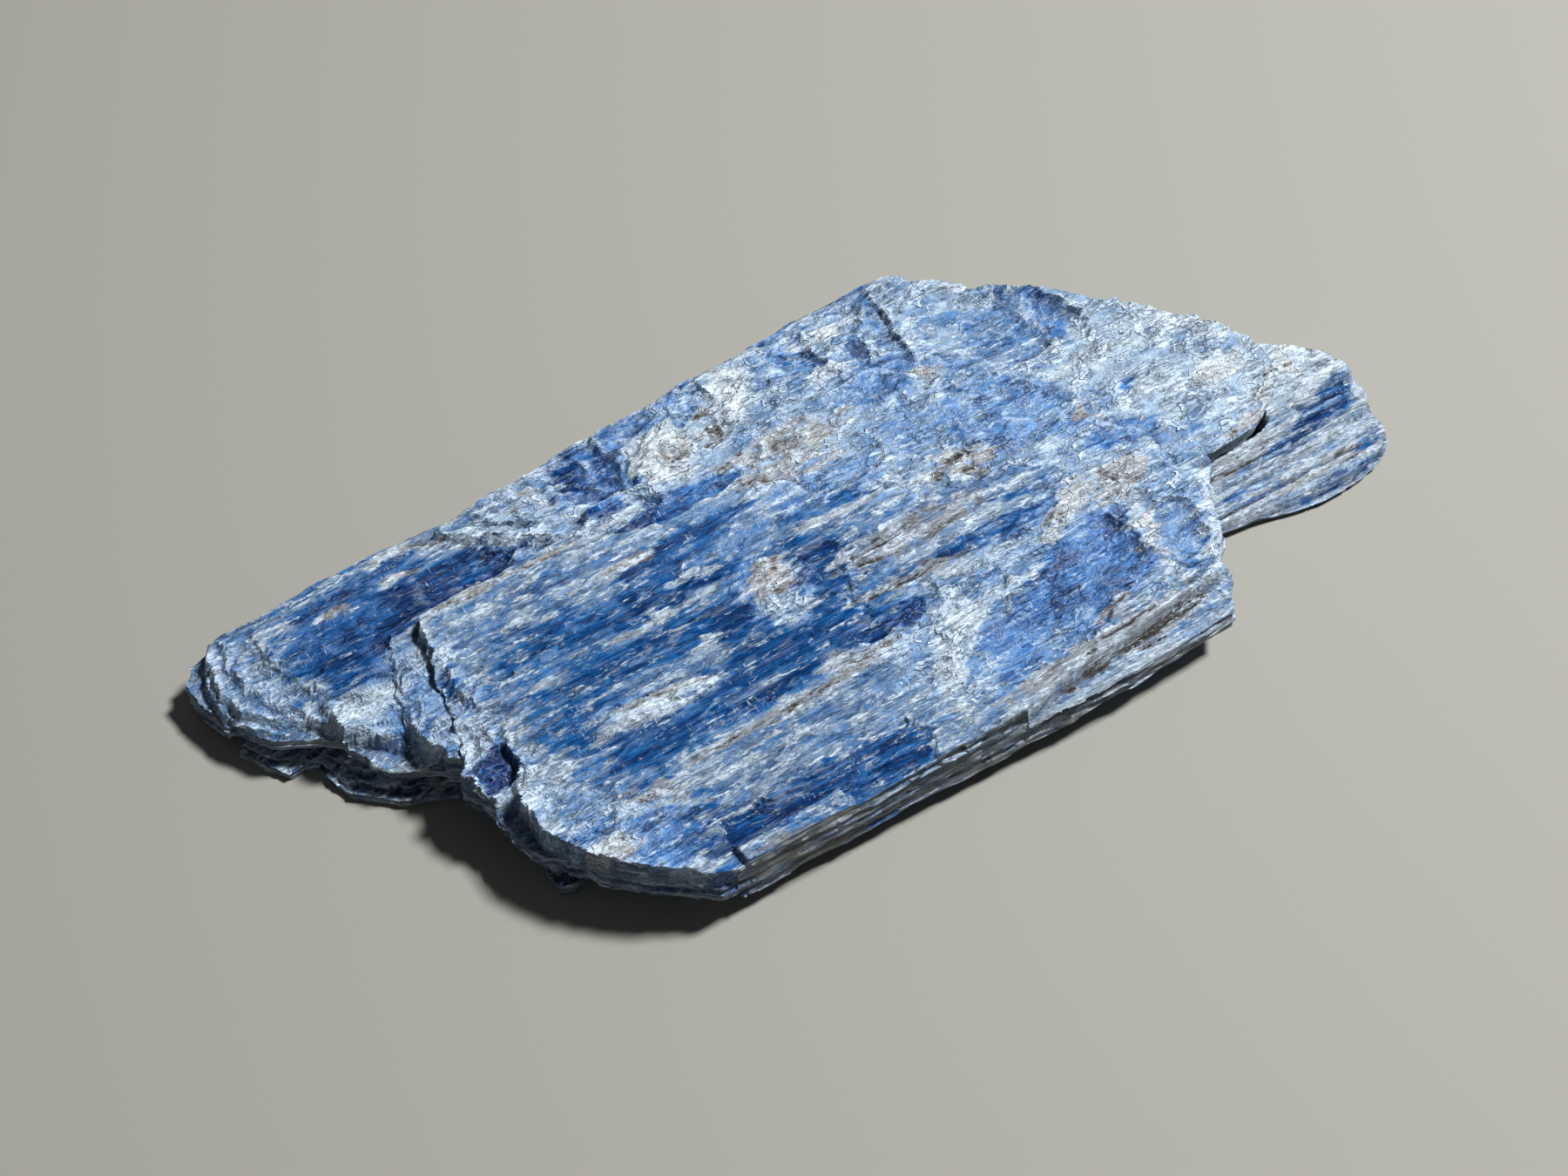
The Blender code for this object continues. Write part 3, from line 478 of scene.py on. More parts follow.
def crystal(name, border, size, relief, underside, seed, fray=0.3, reach=1.0, lean=0.0, look=wall_look):
    """A closed crystal in the plan. `relief(x, y)` gives height, tone, stain and how lined the top is,
    `underside(x, y)` the height of the wall's foot, and `look` a wall's tone and stain. WALL_ROWS rings go down
    the wall, and UNDER_ROWS rings close in under it."""
    nu, nv = size
    u, v = np.meshgrid(np.linspace(0, 1, nu), np.linspace(0, 1, nv), indexing="ij")
    x, y = patch(border, u, v)
    x, y = frayed_border(x, y, fray, seed)
    z, tone, stain, lined = relief(x, y)
    z = np.minimum(z, TOP_LIMIT + 0.15 * np.tanh((z - TOP_LIMIT) / 0.15))
    # Where a point stands out, the material pales it as a frayed rim; where it lies low, the material darkens it as
    # painted shade.
    stands = wear_and_shade_rise(z, 2) / 0.1 + wear_and_shade_rise(z, 5) / 0.3  # 1 where it stands out 0.1 mm over two cells, or 0.3 over five
    around = border_numbers(np.arange(nu * nv).reshape(nu, nv))
    u, v, bx, by, bz, edge_tone = (grid.ravel()[around] for grid in (u, v, x, y, z, tone))
    # From a point a little further in to the border is the way out.
    ix, iy = patch(border, np.clip(u, 0.06, 0.94), np.clip(v, 0.06, 0.94))
    length = np.hypot(bx - ix, by - iy)
    out_x, out_y = (bx - ix) / length, (by - iy) / length
    foot = underside(bx, by)
    rings, looks = [], []
    for t in np.arange(1, WALL_ROWS + 1) / WALL_ROWS:
        level = bz + (foot - bz) * t
        push = reach * wall_reach(bx, by, level, seed + 3) * ease(0, 0.1, t) + lean * t
        rings.append(world(bx + out_x * push, by + out_y * push, level))
        # A wall sheet that reaches out less than its neighbours gets a low `stands`, which the material darkens as
        # painted shade.
        looks.append((*look(bx, by, level, edge_tone), (push - lean * t) / 0.25))
    for k in range(1, UNDER_ROWS + 1):
        inset = 0.02 + 0.43 * k / UNDER_ROWS
        ux, uy = patch(border, np.clip(u, inset, 1 - inset), np.clip(v, inset, 1 - inset))
        rise = 0.3 * streaks(ux, uy, 7.0, 1.1, seed + 8, 3) + 0.15
        level = foot * (1 - ease(0, 0.1, inset)) + foot.mean() * ease(0, 0.1, inset)
        rings.append(world(ux, uy, level + np.maximum(rise, 0)))
        # Under the crystal, `stands` is the bulge, so the dips there get painted shade.
        looks.append((0.4 + 0.3 * rise, 0.35 + 0 * rise, rise))
    ring_tone, ring_stain, ring_stands = np.moveaxis(np.array(looks), 1, 0)
    attributes = {
        "lined": np.concatenate([(lined + 0 * tone).ravel(), np.ones(ring_tone.size)]),
        "tone": np.concatenate([tone.ravel(), ring_tone.ravel()]),
        "stain": np.concatenate([stain.ravel(), ring_stain.ravel()]),
        "stands": np.clip(np.concatenate([stands.ravel(), ring_stands.ravel()]), -1, 1),
    }
    mesh = closed_mesh(name, world(x, y, z), np.array(rings), attributes)
    item = bpy.data.objects.new(name, mesh)
    bpy.context.scene.collection.objects.link(item)
    triangles = sum(len(p.vertices) - 2 for p in mesh.polygons)
    print(f"{name}: {triangles} triangles, height {z.min():.2f} to {z.max():.2f} mm")
    return item


# %% [markdown]
# ## Kyanite's finish
# Kyanite splits clean along its blades, which gives a glassy to pearly face. Where it is whole it is deep blue
# and clear. Where it is frayed it turns pale, because light scatters in the splits. Where it is crushed it is
# powdery and greyer. The surface carries four numbers for this: `tone` from 0, deep blue, to 1, white; `stain`,
# the brown of iron; `stands`, how far a point stands out from or lies below what is round it, where the low
# places get painted shade; and `lined`, from 1, where lines run along the blades, to 0, where they are crushed.
# Streaks and mottles break all of them up.

# %% The node helper and the kyanite material
def add_node(tree, kind, settings=None, links=None):
    """A node with its settings and links: a key of `settings` names a property or, where it is a number or an
    input's name, an input; each link is input: output socket."""
    node = tree.nodes.new(kind)
    for key, value in (settings or {}).items():
        if isinstance(key, int) or key in node.inputs:
            node.inputs[key].default_value = value
        else:
            setattr(node, key, value)
    for key, socket in (links or {}).items():
        tree.links.new(socket, node.inputs[key])
    return node


def colour_stops(ramp, stops):
    """Fills a colour ramp with (place, sRGB hex) stops."""
    while len(ramp.elements) < len(stops):
        ramp.elements.new(0.5)
    for element, (place, code) in zip(ramp.elements, stops, strict=True):
        element.position = place
        element.color = linear(code)


BLUE_TO_WHITE = [
    (0.0, "#003068"), (0.16, "#065296"), (0.32, "#2d72b4"), (0.48, "#668fc0"), (0.64, "#95b3d3"), (0.8, "#c3d4e3"),
    (1.0, "#eef6fa"),
]  # fmt: skip
STAIN = "#a19480"
DARK_STAIN = "#3a342f"
# Dark grain and the painted shade in hollows are multiplied by these colours, on faces and on walls.
GRAIN_AND_PAINTED_SHADE = "#3c547c"
WALL_GRAIN_AND_PAINTED_SHADE = "#2a3442"
CRUMB = "#d3e4f4"
DUST = "#8799ae"
POWDER = "#7b8c99"
DARK_GRAIN = "#5a6d87"
RISER = "#5b6671"
# Sizes in mm along the blades, across them and up. On a wall the sheets show edge on, so its sizes are small
# upwards instead.
FACE_SIZES = {
    "broad": (7.0, 0.6, 0.6), "cluster": (3.6, 0.5, 0.6), "fine": (0.5, 0.14, 0.2), "split": (4.5, 0.4, 0.5),
    "plate": (1.8, 0.5, 0.6), "chip": (0.5, 0.26, 0.3), "tick": (0.12, 1.0, 0.5), "veil": (6.0, 1.1, 1.0),
    "flake": (4.5, 0.45, 0.5), "lath": (5.0, 0.2, 0.3),
}  # fmt: skip
WALL_SIZES = {
    "broad": (5.0, 5.0, 0.35), "cluster": (3.0, 3.0, 0.2), "fine": (0.7, 0.7, 0.1), "split": (4.0, 4.0, 0.16),
    "plate": (1.6, 1.6, 0.2), "chip": (0.6, 0.6, 0.12), "tick": (0.5, 0.5, 0.5), "veil": (3.0, 3.0, 0.4),
    "flake": (3.0, 3.0, 0.3), "lath": (3.0, 3.0, 0.1),
}  # fmt: skip


def kyanite(name, sizes, grey, grain_and_painted_shade, depth, clear_roughness, frayed_roughness):
    """Triclinic aluminium silicate, split along its blades: glassy where whole, pearly where frayed, powdery
    where crushed. Plates and chips are facets, each tilted its own way. Veils and crumbs are frayed places with
    sharp borders, splits and clefts are dark lines, and hairlines, ridges and folds are pale ones. Low places in
    the relief get painted shade."""
    material = bpy.data.materials.new(name)
    material.use_nodes = True
    tree = material.node_tree
    shader = tree.nodes["Principled BSDF"]
    place = add_node(tree, "ShaderNodeTexCoord").outputs["Object"]

    def stretched(size, at):
        """Coordinates in units of the given size in mm."""
        scale = tuple(1 / (length * MM) for length in size)
        return add_node(tree, "ShaderNodeMapping", {"Scale": scale}, {"Vector": at}).outputs[0]

    def streak(size, detail=3.0, roughness=0.6, at=place, output="Fac"):
        """Noise with features of the given size."""
        settings = {"Scale": 1.0, "Detail": detail, "Roughness": roughness}
        return add_node(tree, "ShaderNodeTexNoise", settings, {"Vector": stretched(size, at)}).outputs[output]

    def combine(operation, a, b, c=None):
        """One Math node; each of a, b and c is a number or a socket."""
        settings, links = {"operation": operation}, {}
        for k, value in enumerate((a, b, c)):
            if isinstance(value, (int, float)):
                settings[k] = value
            elif value is not None:
                links[k] = value
        return add_node(tree, "ShaderNodeMath", settings, links).outputs[0]

    def vectors(operation, a, b, output=0):
        """One Vector Math node; b is a vector or a socket."""
        fixed = isinstance(b, tuple)
        settings = {"operation": operation, **({1: b} if fixed else {})}
        return add_node(tree, "ShaderNodeVectorMath", settings, {0: a} if fixed else {0: a, 1: b}).outputs[output]

    def centred(value, gain, onto):
        """The value less a half, times the gain, on top of another."""
        return combine("MULTIPLY_ADD", combine("SUBTRACT", value, 0.5), gain, onto)

    def spread(value, low, high):
        """The value from `low` to `high` taken to 0 to 1, held at both ends."""
        settings = {"From Min": low, "From Max": high}
        return add_node(tree, "ShaderNodeMapRange", settings, {"Value": value}).outputs[0]

    def blend(share, first, second, kind="MIX"):
        """A colour mix by the share's socket; `second` is a hex code."""
        node = add_node(tree, "ShaderNodeMix", {"data_type": "RGBA", "blend_type": kind}, {0: share, 6: first})
        node.inputs[7].default_value = linear(second)
        return node.outputs[2]

    def times(a, b):
        """The product."""
        return combine("MULTIPLY", a, b)

    def plus(a, gain, base):
        """a times the gain, on top of the base."""
        return combine("MULTIPLY_ADD", a, gain, base)

    def larger(a, b):
        """The larger of the two."""
        return combine("MAXIMUM", a, b)

    def contour(value, level, far, near):
        """A line where the value passes the level: 1 within `near` of it and 0 past `far`."""
        return spread(combine("ABSOLUTE", combine("SUBTRACT", value, level), 0.0), far, near)

    def stored(key):
        """A number stored on the surface."""
        return add_node(tree, "ShaderNodeAttribute", {"attribute_name": key}).outputs["Fac"]

    # Places shaken by up to 0.4 mm along the blades and 0.2 mm across them, so that nothing laid on them is straight.
    wobble = vectors("MULTIPLY", streak((0.9, 0.5, 0.5), output="Color"), (0.0004, 0.00022, 0.00022))
    loose = vectors("ADD", wobble, place)

    def facets(size):
        """Flat-faced grains: each point belongs to the nearest of many scattered points, takes its random colour
        and lies on a plane tilted by that colour. Gives the colour and the height on the plane."""
        at = stretched(size, loose)
        grain = add_node(tree, "ShaderNodeTexVoronoi", {"Scale": 1.0}, {"Vector": at})
        tilt = vectors("SUBTRACT", grain.outputs["Color"], (0.5, 0.5, 0.5))
        away = vectors("SUBTRACT", at, grain.outputs["Position"])
        return grain.outputs["Color"], vectors("DOT_PRODUCT", away, tilt, 1)

    tone, stain, stands, lined = (stored(key) for key in ("tone", "stain", "stands", "lined"))
    crushed = combine("SUBTRACT", 1.0, lined)
    clear_cut = plus(lined, 0.7, 0.3)  # the share of grain, crumbs and plates that crushed places keep
    lie = add_node(tree, "ShaderNodeNewGeometry").outputs["Normal"]
    steep = contour(add_node(tree, "ShaderNodeSeparateXYZ", {}, {0: lie}).outputs["Z"], 0.0, 0.8, 0.4)

    plate, plate_height = facets(sizes["plate"])
    chip, chip_height = facets(sizes["chip"])
    patchy = streak((3.0, 1.6, 2.0), 2.0)
    blotch = streak((1.5, 0.8, 1.0), 3.0, 0.55, loose)
    crumple = streak((2.0, 1.5, 1.5), 2.0, 0.5, loose)
    speck = streak((0.32, 0.24, 0.24), 2.0, 0.55)
    fine = streak(sizes["fine"], 4.0, 0.7)
    fine = plus(combine("SUBTRACT", speck, fine), crushed, fine)
    cluster = streak(sizes["cluster"], 4.0, 0.65, loose)
    lath = streak(sizes["lath"], 2.0, 0.5)

    # The ground: how much blue shows through. Streaks change it where the blades are lined, and folds where they
    # are crushed.
    veil = spread(streak(sizes["veil"], 5.0, 0.62, loose), 0.5, 0.54)
    along = centred(lath, 0.45, centred(streak(sizes["broad"], 3.0, 0.5), 0.55, 0.0))
    change = centred(plate, 0.16, centred(blotch, 0.42, plus(veil, 0.07, -0.05)))
    change = plus(times(along, plus(tone, -0.9, 1.2)), lined, change)
    change = plus(centred(crumple, 1.0, -0.05), crushed, change)
    mixed = plus(change, plus(tone, -0.75, 1.15), tone)
    edge = times(larger(stands, 0.0), spread(blotch, 0.42, 0.52))
    edge = times(edge, plus(spread(tone, 0.15, 0.5), 0.7, 0.3))
    hollow = larger(times(stands, -1.0), 0.0)
    ramp = add_node(tree, "ShaderNodeValToRGB", {}, {"Fac": mixed})
    colour_stops(ramp.color_ramp, BLUE_TO_WHITE)

    # Dark grains, splits and clefts, and painted shade in the hollows, all of which hold their blue, then dust and
    # powder.
    grain = centred(chip, 0.22, fine)
    split = contour(streak(sizes["split"], 3.0, 0.6, loose), 0.5, 0.02, 0.005)
    split = times(split, spread(patchy, 0.46, 0.54))
    dark = larger(times(spread(grain, 0.46, 0.3), times(clear_cut, 0.8)), times(split, 0.8))
    cleft = times(times(contour(crumple, 0.41, 0.02, 0.006), spread(patchy, 0.44, 0.52)), crushed)
    dark = larger(dark, times(cleft, 0.75))
    pale = spread(mixed, 0.4, 0.7)
    colour = blend(times(dark, pale), ramp.outputs["Color"], DARK_GRAIN)
    # Painted shade: low places of the relief (negative `stands`) are darkened, by the `depth` share.
    dark = larger(times(dark, combine("SUBTRACT", 1.0, pale)), times(spread(hollow, 0.3, 1.0), depth))
    colour = blend(dark, colour, grain_and_painted_shade, "MULTIPLY")
    dusty = times(spread(streak((1.8, 0.7, 0.8), 3.0, 0.6), 0.48, 0.6), 0.34)
    colour = blend(times(dusty, spread(mixed, 0.22, 0.5)), colour, DUST)
    colour = blend(times(times(crushed, 0.45), spread(tone, 0.12, 0.45)), colour, POWDER)
    colour = blend(times(steep, grey), colour, RISER)

    # Stains, then crumbs, hairlines, ridges and rims, which lie on top.
    rust = centred(plate, 0.3, centred(blotch, 1.4, stain))
    colour = blend(times(spread(rust, 0.5, 0.7), 0.55), colour, STAIN)
    colour = blend(times(spread(rust, 0.5, 0.9), spread(hollow, 0.25, 0.9)), colour, DARK_STAIN)
    crowd = plus(spread(mixed, 0.1, 0.6), 0.2, plus(edge, 0.2, grain))
    crowd = centred(plate, 0.22, centred(cluster, 1.4, crowd))
    crumbs = plus(spread(crowd, 0.82, 0.87), 0.68, times(spread(crowd, 0.72, 0.76), 0.42))
    hairline = contour(streak(sizes["flake"], 1.5, 0.5, loose), 0.5, 0.012, 0.004)
    hairline = times(times(hairline, spread(blotch, 0.48, 0.52)), lined)
    ridge = times(times(contour(crumple, 0.5, 0.03, 0.008), spread(blotch, 0.46, 0.52)), crushed)
    fold = times(times(contour(blotch, 0.5, 0.022, 0.006), spread(patchy, 0.54, 0.46)), crushed)
    ridge = times(larger(ridge, fold), plus(spread(tone, 0.28, 0.5), 0.75, 0.25))
    ladder = times(spread(streak(sizes["tick"]), 0.6, 0.66), spread(patchy, 0.42, 0.38))
    light = larger(times(crumbs, clear_cut), times(larger(hairline, ladder), 0.56))
    light = larger(larger(light, times(edge, 0.52)), times(ridge, 0.75))
    tree.links.new(blend(light, colour, CRUMB), shader.inputs["Base Color"])

    frayed = spread(combine("ADD", light, mixed), 0.25, 0.9)
    width = plus(frayed, frayed_roughness - clear_roughness, clear_roughness)
    tree.links.new(width, shader.inputs["Roughness"])
    shader.inputs["IOR"].default_value = 1.72
    shader.inputs["Specular IOR Level"].default_value = 0.2

    # The finest relief: plates, chips, laths and grain stand up, and splits and clefts are cut in.
    relief = times(times(plate_height, plus(tone, 1.6, 0.9)), clear_cut)
    chips = times(times(chip_height, plus(tone, 1.6, 0.5)), clear_cut)
    laths = plus(times(ridge, crushed), 0.6, times(times(lath, plus(tone, -1.4, 1.8)), lined))
    gains = ((chips, 1.0), (laths, 1.0), (times(grain, clear_cut), 1.1), (light, 0.4), (split, -0.7), (cleft, -0.6))
    for value, gain in gains:
        relief = plus(value, gain, relief)
    bump = add_node(tree, "ShaderNodeBump", {"Strength": 0.9, "Distance": 0.0004}, {"Height": relief})
    tree.links.new(bump.outputs["Normal"], shader.inputs["Normal"])
    return material


# After the sizes: the grey of steep places, the colour of dark grain and of the painted shade in hollows, that
# painted shade's share, and the roughness of clear and of frayed crystal.
face = kyanite("kyanite_cleavage_face", FACE_SIZES, 0.1, GRAIN_AND_PAINTED_SHADE, 0.5, 0.36, 0.62)
wall = kyanite("kyanite_layered_wall", WALL_SIZES, 0.55, WALL_GRAIN_AND_PAINTED_SHADE, 0.9, 0.5, 0.7)


def squares(size):
    """The number of squares in a grid of `size` points each way."""
    return (size[0] - 1) * (size[1] - 1)


def finish(item, node, top_count):
    """Gives a crystal its two finishes: the cleavage face on its first `top_count` faces, which are the top
    grid's, and the layered wall on the rest."""
    item.data.materials.append(face)
    item.data.materials.append(wall)
    kinds = np.zeros(len(item.data.polygons), np.int32)
    kinds[top_count:] = 1
    item.data.polygons.foreach_set("material_index", kinds)
    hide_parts(node)
    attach(item, "root")


# %% [markdown]
# ## The front blade
# The thick front plate. Its top is a deep-blue face under two thinner sheets, with a raised bar along the rim,
# a shell-shaped scoop at the right and a layered ledge below it. It is broken at a slant at its right end.

# %% Front blade: border, sheets and spots
# Spots here and below: middle, half length and half width, turn in degrees, value. The first list says how lined
# both plates are: near 0 the blades are crushed, and no lines run along them.
CRUSHED = [
    (22.0, 4.0, 17.0, 9.5, -20, 0.0), (2.0, 13.0, 19.0, 4.6, 2, 0.05), (21.0, -8.0, 4.4, 8.5, 0, 0.1),
    (13.0, -10.0, 7.0, 4.2, 5, 0.15), (9.0, -13.0, 6.0, 3.0, 4, 0.3), (3.5, -10.5, 4.0, 3.6, 50, 0.2),
    (-3.6, -1.0, 2.6, 2.6, 0, 0.1), (5.0, 6.5, 9.0, 3.6, -10, 0.15), (-22.0, -12.5, 4.6, 3.4, -40, 0.25),
    (-27.0, 1.0, 2.6, 8.0, 10, 0.3), (-38.0, 11.0, 3.0, 4.6, 0, 0.3), (-32.0, 4.6, 3.4, 2.6, 0, 0.3),
    (-14.6, -4.8, 4.0, 0.9, -8, 0.4), (20.4, 10.4, 4.0, 4.0, 0, 0.45), (10.0, -2.6, 6.0, 1.6, 0, 0.9),
    (14.0, -17.0, 9.0, 1.0, 0, 1.0), (-8.0, 5.0, 7.0, 2.4, 0, 0.7), (-28.0, 12.5, 6.0, 2.4, 0, 0.7),
]  # fmt: skip
PARTING = [
    (-24.9, 9.25), (-19.5, 9.3), (-14.0, 9.5), (-12.6, 8.8), (-9.5, 7.4), (-8.0, 7.0), (-3.0, 7.2), (0.0, 8.0),
    (4.0, 6.8), (8.0, 4.6), (11.0, 1.6), (14.0, -0.8), (18.0, -3.0), (22.0, -4.6), (27.6, -6.9),
]  # fmt: skip
FRONT_BORDER = (
    [(-17.5, -17.5), (-15.0, -17.55), (-8.0, -17.6), (0.0, -17.6), (5.0, -17.75), (10.0, -18.0), (14.0, -18.1),
     (19.6, -17.85), (22.3, -17.8)],
    [(22.3, -17.8), (22.9, -16.6), (23.6, -15.0), (24.8, -12.8), (26.2, -9.6), (27.6, -6.9)],
    PARTING,
    [(-17.5, -17.55), (-19.4, -16.2), (-21.4, -14.6), (-23.6, -12.5), (-25.3, -10.8), (-26.4, -9.0), (-27.1, -7.6),
     (-27.4, -5.7), (-27.8, -4.2), (-28.3, -2.9), (-27.5, -0.5), (-27.0, 1.5), (-26.9, 3.5), (-26.3, 5.5),
     (-26.0, 8.0), (-24.9, 9.25)],
)  # fmt: skip
# Each sheet: height, dip along and across, outline, and the riser's width and fray where they differ.
FRONT_SHEETS = [
    (5.5, (0, 0.03), [(5.0, -16.9), (20.6, -15.9), (20.1, -13.5), (6.0, -14.5)]),
    (6.62, (0.03, 0), [(-25.2, 9.3), (-26.1, 8.0), (-26.4, 5.5), (-27.0, 3.5), (-27.1, 1.5), (-27.6, -0.5),
     (-28.3, -2.8), (-27.6, -5.3), (-24.0, -6.5), (-20.0, 0.0), (-20.0, 9.3)], 0.5, 0.4),
    (7.05, (0.0, 0.04), [(-25.9, 9.6), (-26.3, 5.6), (-26.9, 4.6), (-25.8, 4.2), (-25.6, 1.4), (-26.6, 0.6),
     (-26.2, -1.2), (-25.6, -6.0), (-20.0, -2.0), (-20.0, 9.6)], 0.5, 0.7),
    (6.98, (0, 0), [(-26.1, -5.6), (-25.8, -9.4), (-24.8, -11.0), (-23.8, -12.4), (-21.3, -14.8), (-18.3, -16.9),
     (-15.0, -18.2), (0.0, -18.2), (5.6, -17.6), (8.0, -17.0), (20.6, -15.6), (22.4, -15.6), (23.6, -14.2),
     (24.7, -12.4), (26.4, -9.0), (29.0, -6.9), (20.0, 2.0), (0.0, 10.0), (-24.7, 10.0)], 0.25, 0.2),
    (6.35, (0, 0.03), [(6.0, -16.5), (21.4, -15.4), (20.9, -13.0), (7.0, -14.1)]),
    (7.15, (0, 0.004), [(-22.6, -8.8), (-20.2, -9.9), (-18.0, -11.6), (-16.3, -13.0), (-14.6, -13.6), (-13.4, -14.2),
     (-12.3, -14.9), (-10.6, -15.1), (-8.0, -15.0), (-4.0, -14.7), (-1.9, -14.0), (-1.8, -16.0), (-1.6, -18.6),
     (4.6, -18.6), (6.0, -17.1), (9.0, -16.1), (12.0, -16.0), (17.0, -15.4), (20.0, -15.0), (21.9, -14.9),
     (23.9, -12.4), (25.8, -9.2), (29.0, -6.5), (20.0, 2.0), (0.0, 10.0), (-22.0, 4.0)], 0.2, 0.1),
    (7.3, (0.012, 0.004), [(-24.7, 9.1), (-25.3, 6.9), (-25.6, 5.0), (-25.9, 2.9), (-25.2, 0.6), (-24.4, -1.0),
     (-24.5, -3.2), (-25.0, -4.4), (-25.9, -5.2), (-24.6, -7.0), (-22.4, -8.6), (-14.0, -9.6), (-6.0, -9.6),
     (-0.5, -8.8), (0.1, -5.2), (1.5, -1.0), (5.5, -1.6), (9.0, 0.2), (7.5, 3.4), (3.0, 3.2), (-1.0, 6.9), (-6.0, 9.5),
     (-24.0, 12.0)], 0.5, 0.6),
]  # fmt: skip
# Each lost flake: height left, dip, outline.
FRONT_FLAKES = [
    (6.5, (0.05, -0.02), [(-16.0, -13.9), (-13.4, -14.0), (-12.2, -14.9), (-8.0, -15.05), (-4.0, -14.75),
     (-1.8, -14.1), (-1.0, -16.0), (-2.2, -18.6), (-7.6, -18.6), (-7.9, -17.0), (-8.2, -15.95), (-16.0, -16.1)], 0.9,
     0.3),
    (6.85, (0.0, -0.05), [(-16.0, -16.0), (-7.8, -15.9), (-7.4, -18.6), (-15.8, -18.6)], 0.3, 0.1),
    (6.2, (0.0, 0.0), [(-18.8, -16.5), (-17.6, -15.9), (-16.0, -15.8), (-15.9, -18.4), (-19.0, -18.4)], 0.2, 0.1),
    (7.2, (0.0, 0.1), [(-2.1, 0.3), (1.5, 0.0), (0.9, -1.6), (0.3, -2.7), (-0.5, -2.7), (-1.3, -1.6)], 0.7, 0.5),
    (7.0, (0.02, 0.1), [(-2.2, -7.2), (0.4, -6.4), (3.6, -6.0), (4.6, -6.5), (3.0, -7.9), (0.2, -8.3), (-1.4, -8.1)],
     0.9, 0.6),
    (6.0, (0.03, 0.05), [(-27.6, -2.3), (-25.0, -2.1), (-24.9, -3.9), (-25.6, -4.8), (-27.5, -4.8)], 0.15, 0.1),
    (7.3, (0.0, 0.05), [(-10.4, -1.6), (-7.4, -1.0), (-5.4, -1.4), (-5.0, -2.4), (-7.4, -2.4), (-10.0, -2.2)], 0.4,
     0.3),
    (7.3, (0.0, 0.02), [(-20.0, -5.6), (-12.0, -5.9), (-3.2, -5.4), (-2.6, -7.6), (-9.0, -8.6), (-19.0, -8.2)], 0.7),
    (6.7, (0.0, 0.1), [(11.6, -8.2), (13.2, -8.3), (13.7, -9.4), (12.7, -10.5), (12.0, -10.0)], 0.4, 0.3),
    (6.75, (0.0, 0.0), [(10.0, -8.1), (18.4, -7.9), (18.8, -9.0), (17.6, -11.6), (12.0, -11.4)], 0.6),
    (7.3, (0.0, 0.0), [(-22.0, 3.7), (-9.0, 3.4), (-8.6, 2.0), (-21.0, 1.6)], 0.5),
    (6.95, (0.0, 0.0), [(6.6, -3.7), (16.4, -3.9), (15.4, -5.6), (7.4, -5.6)], 0.5),
]  # fmt: skip
# Each bowl: middle, half length and half width, turn, depth, height of the face that it is cut in.
FRONT_BOWLS = [
    ((9.0, -13.0), (6.2, 3.1), 4, 0.8, 6.95), ((15.2, -10.6), (4.2, 2.5), 8, 0.4, 6.9),
    ((21.9, -11.8), (1.6, 2.8), -15, 0.5, 7.0),
]  # fmt: skip
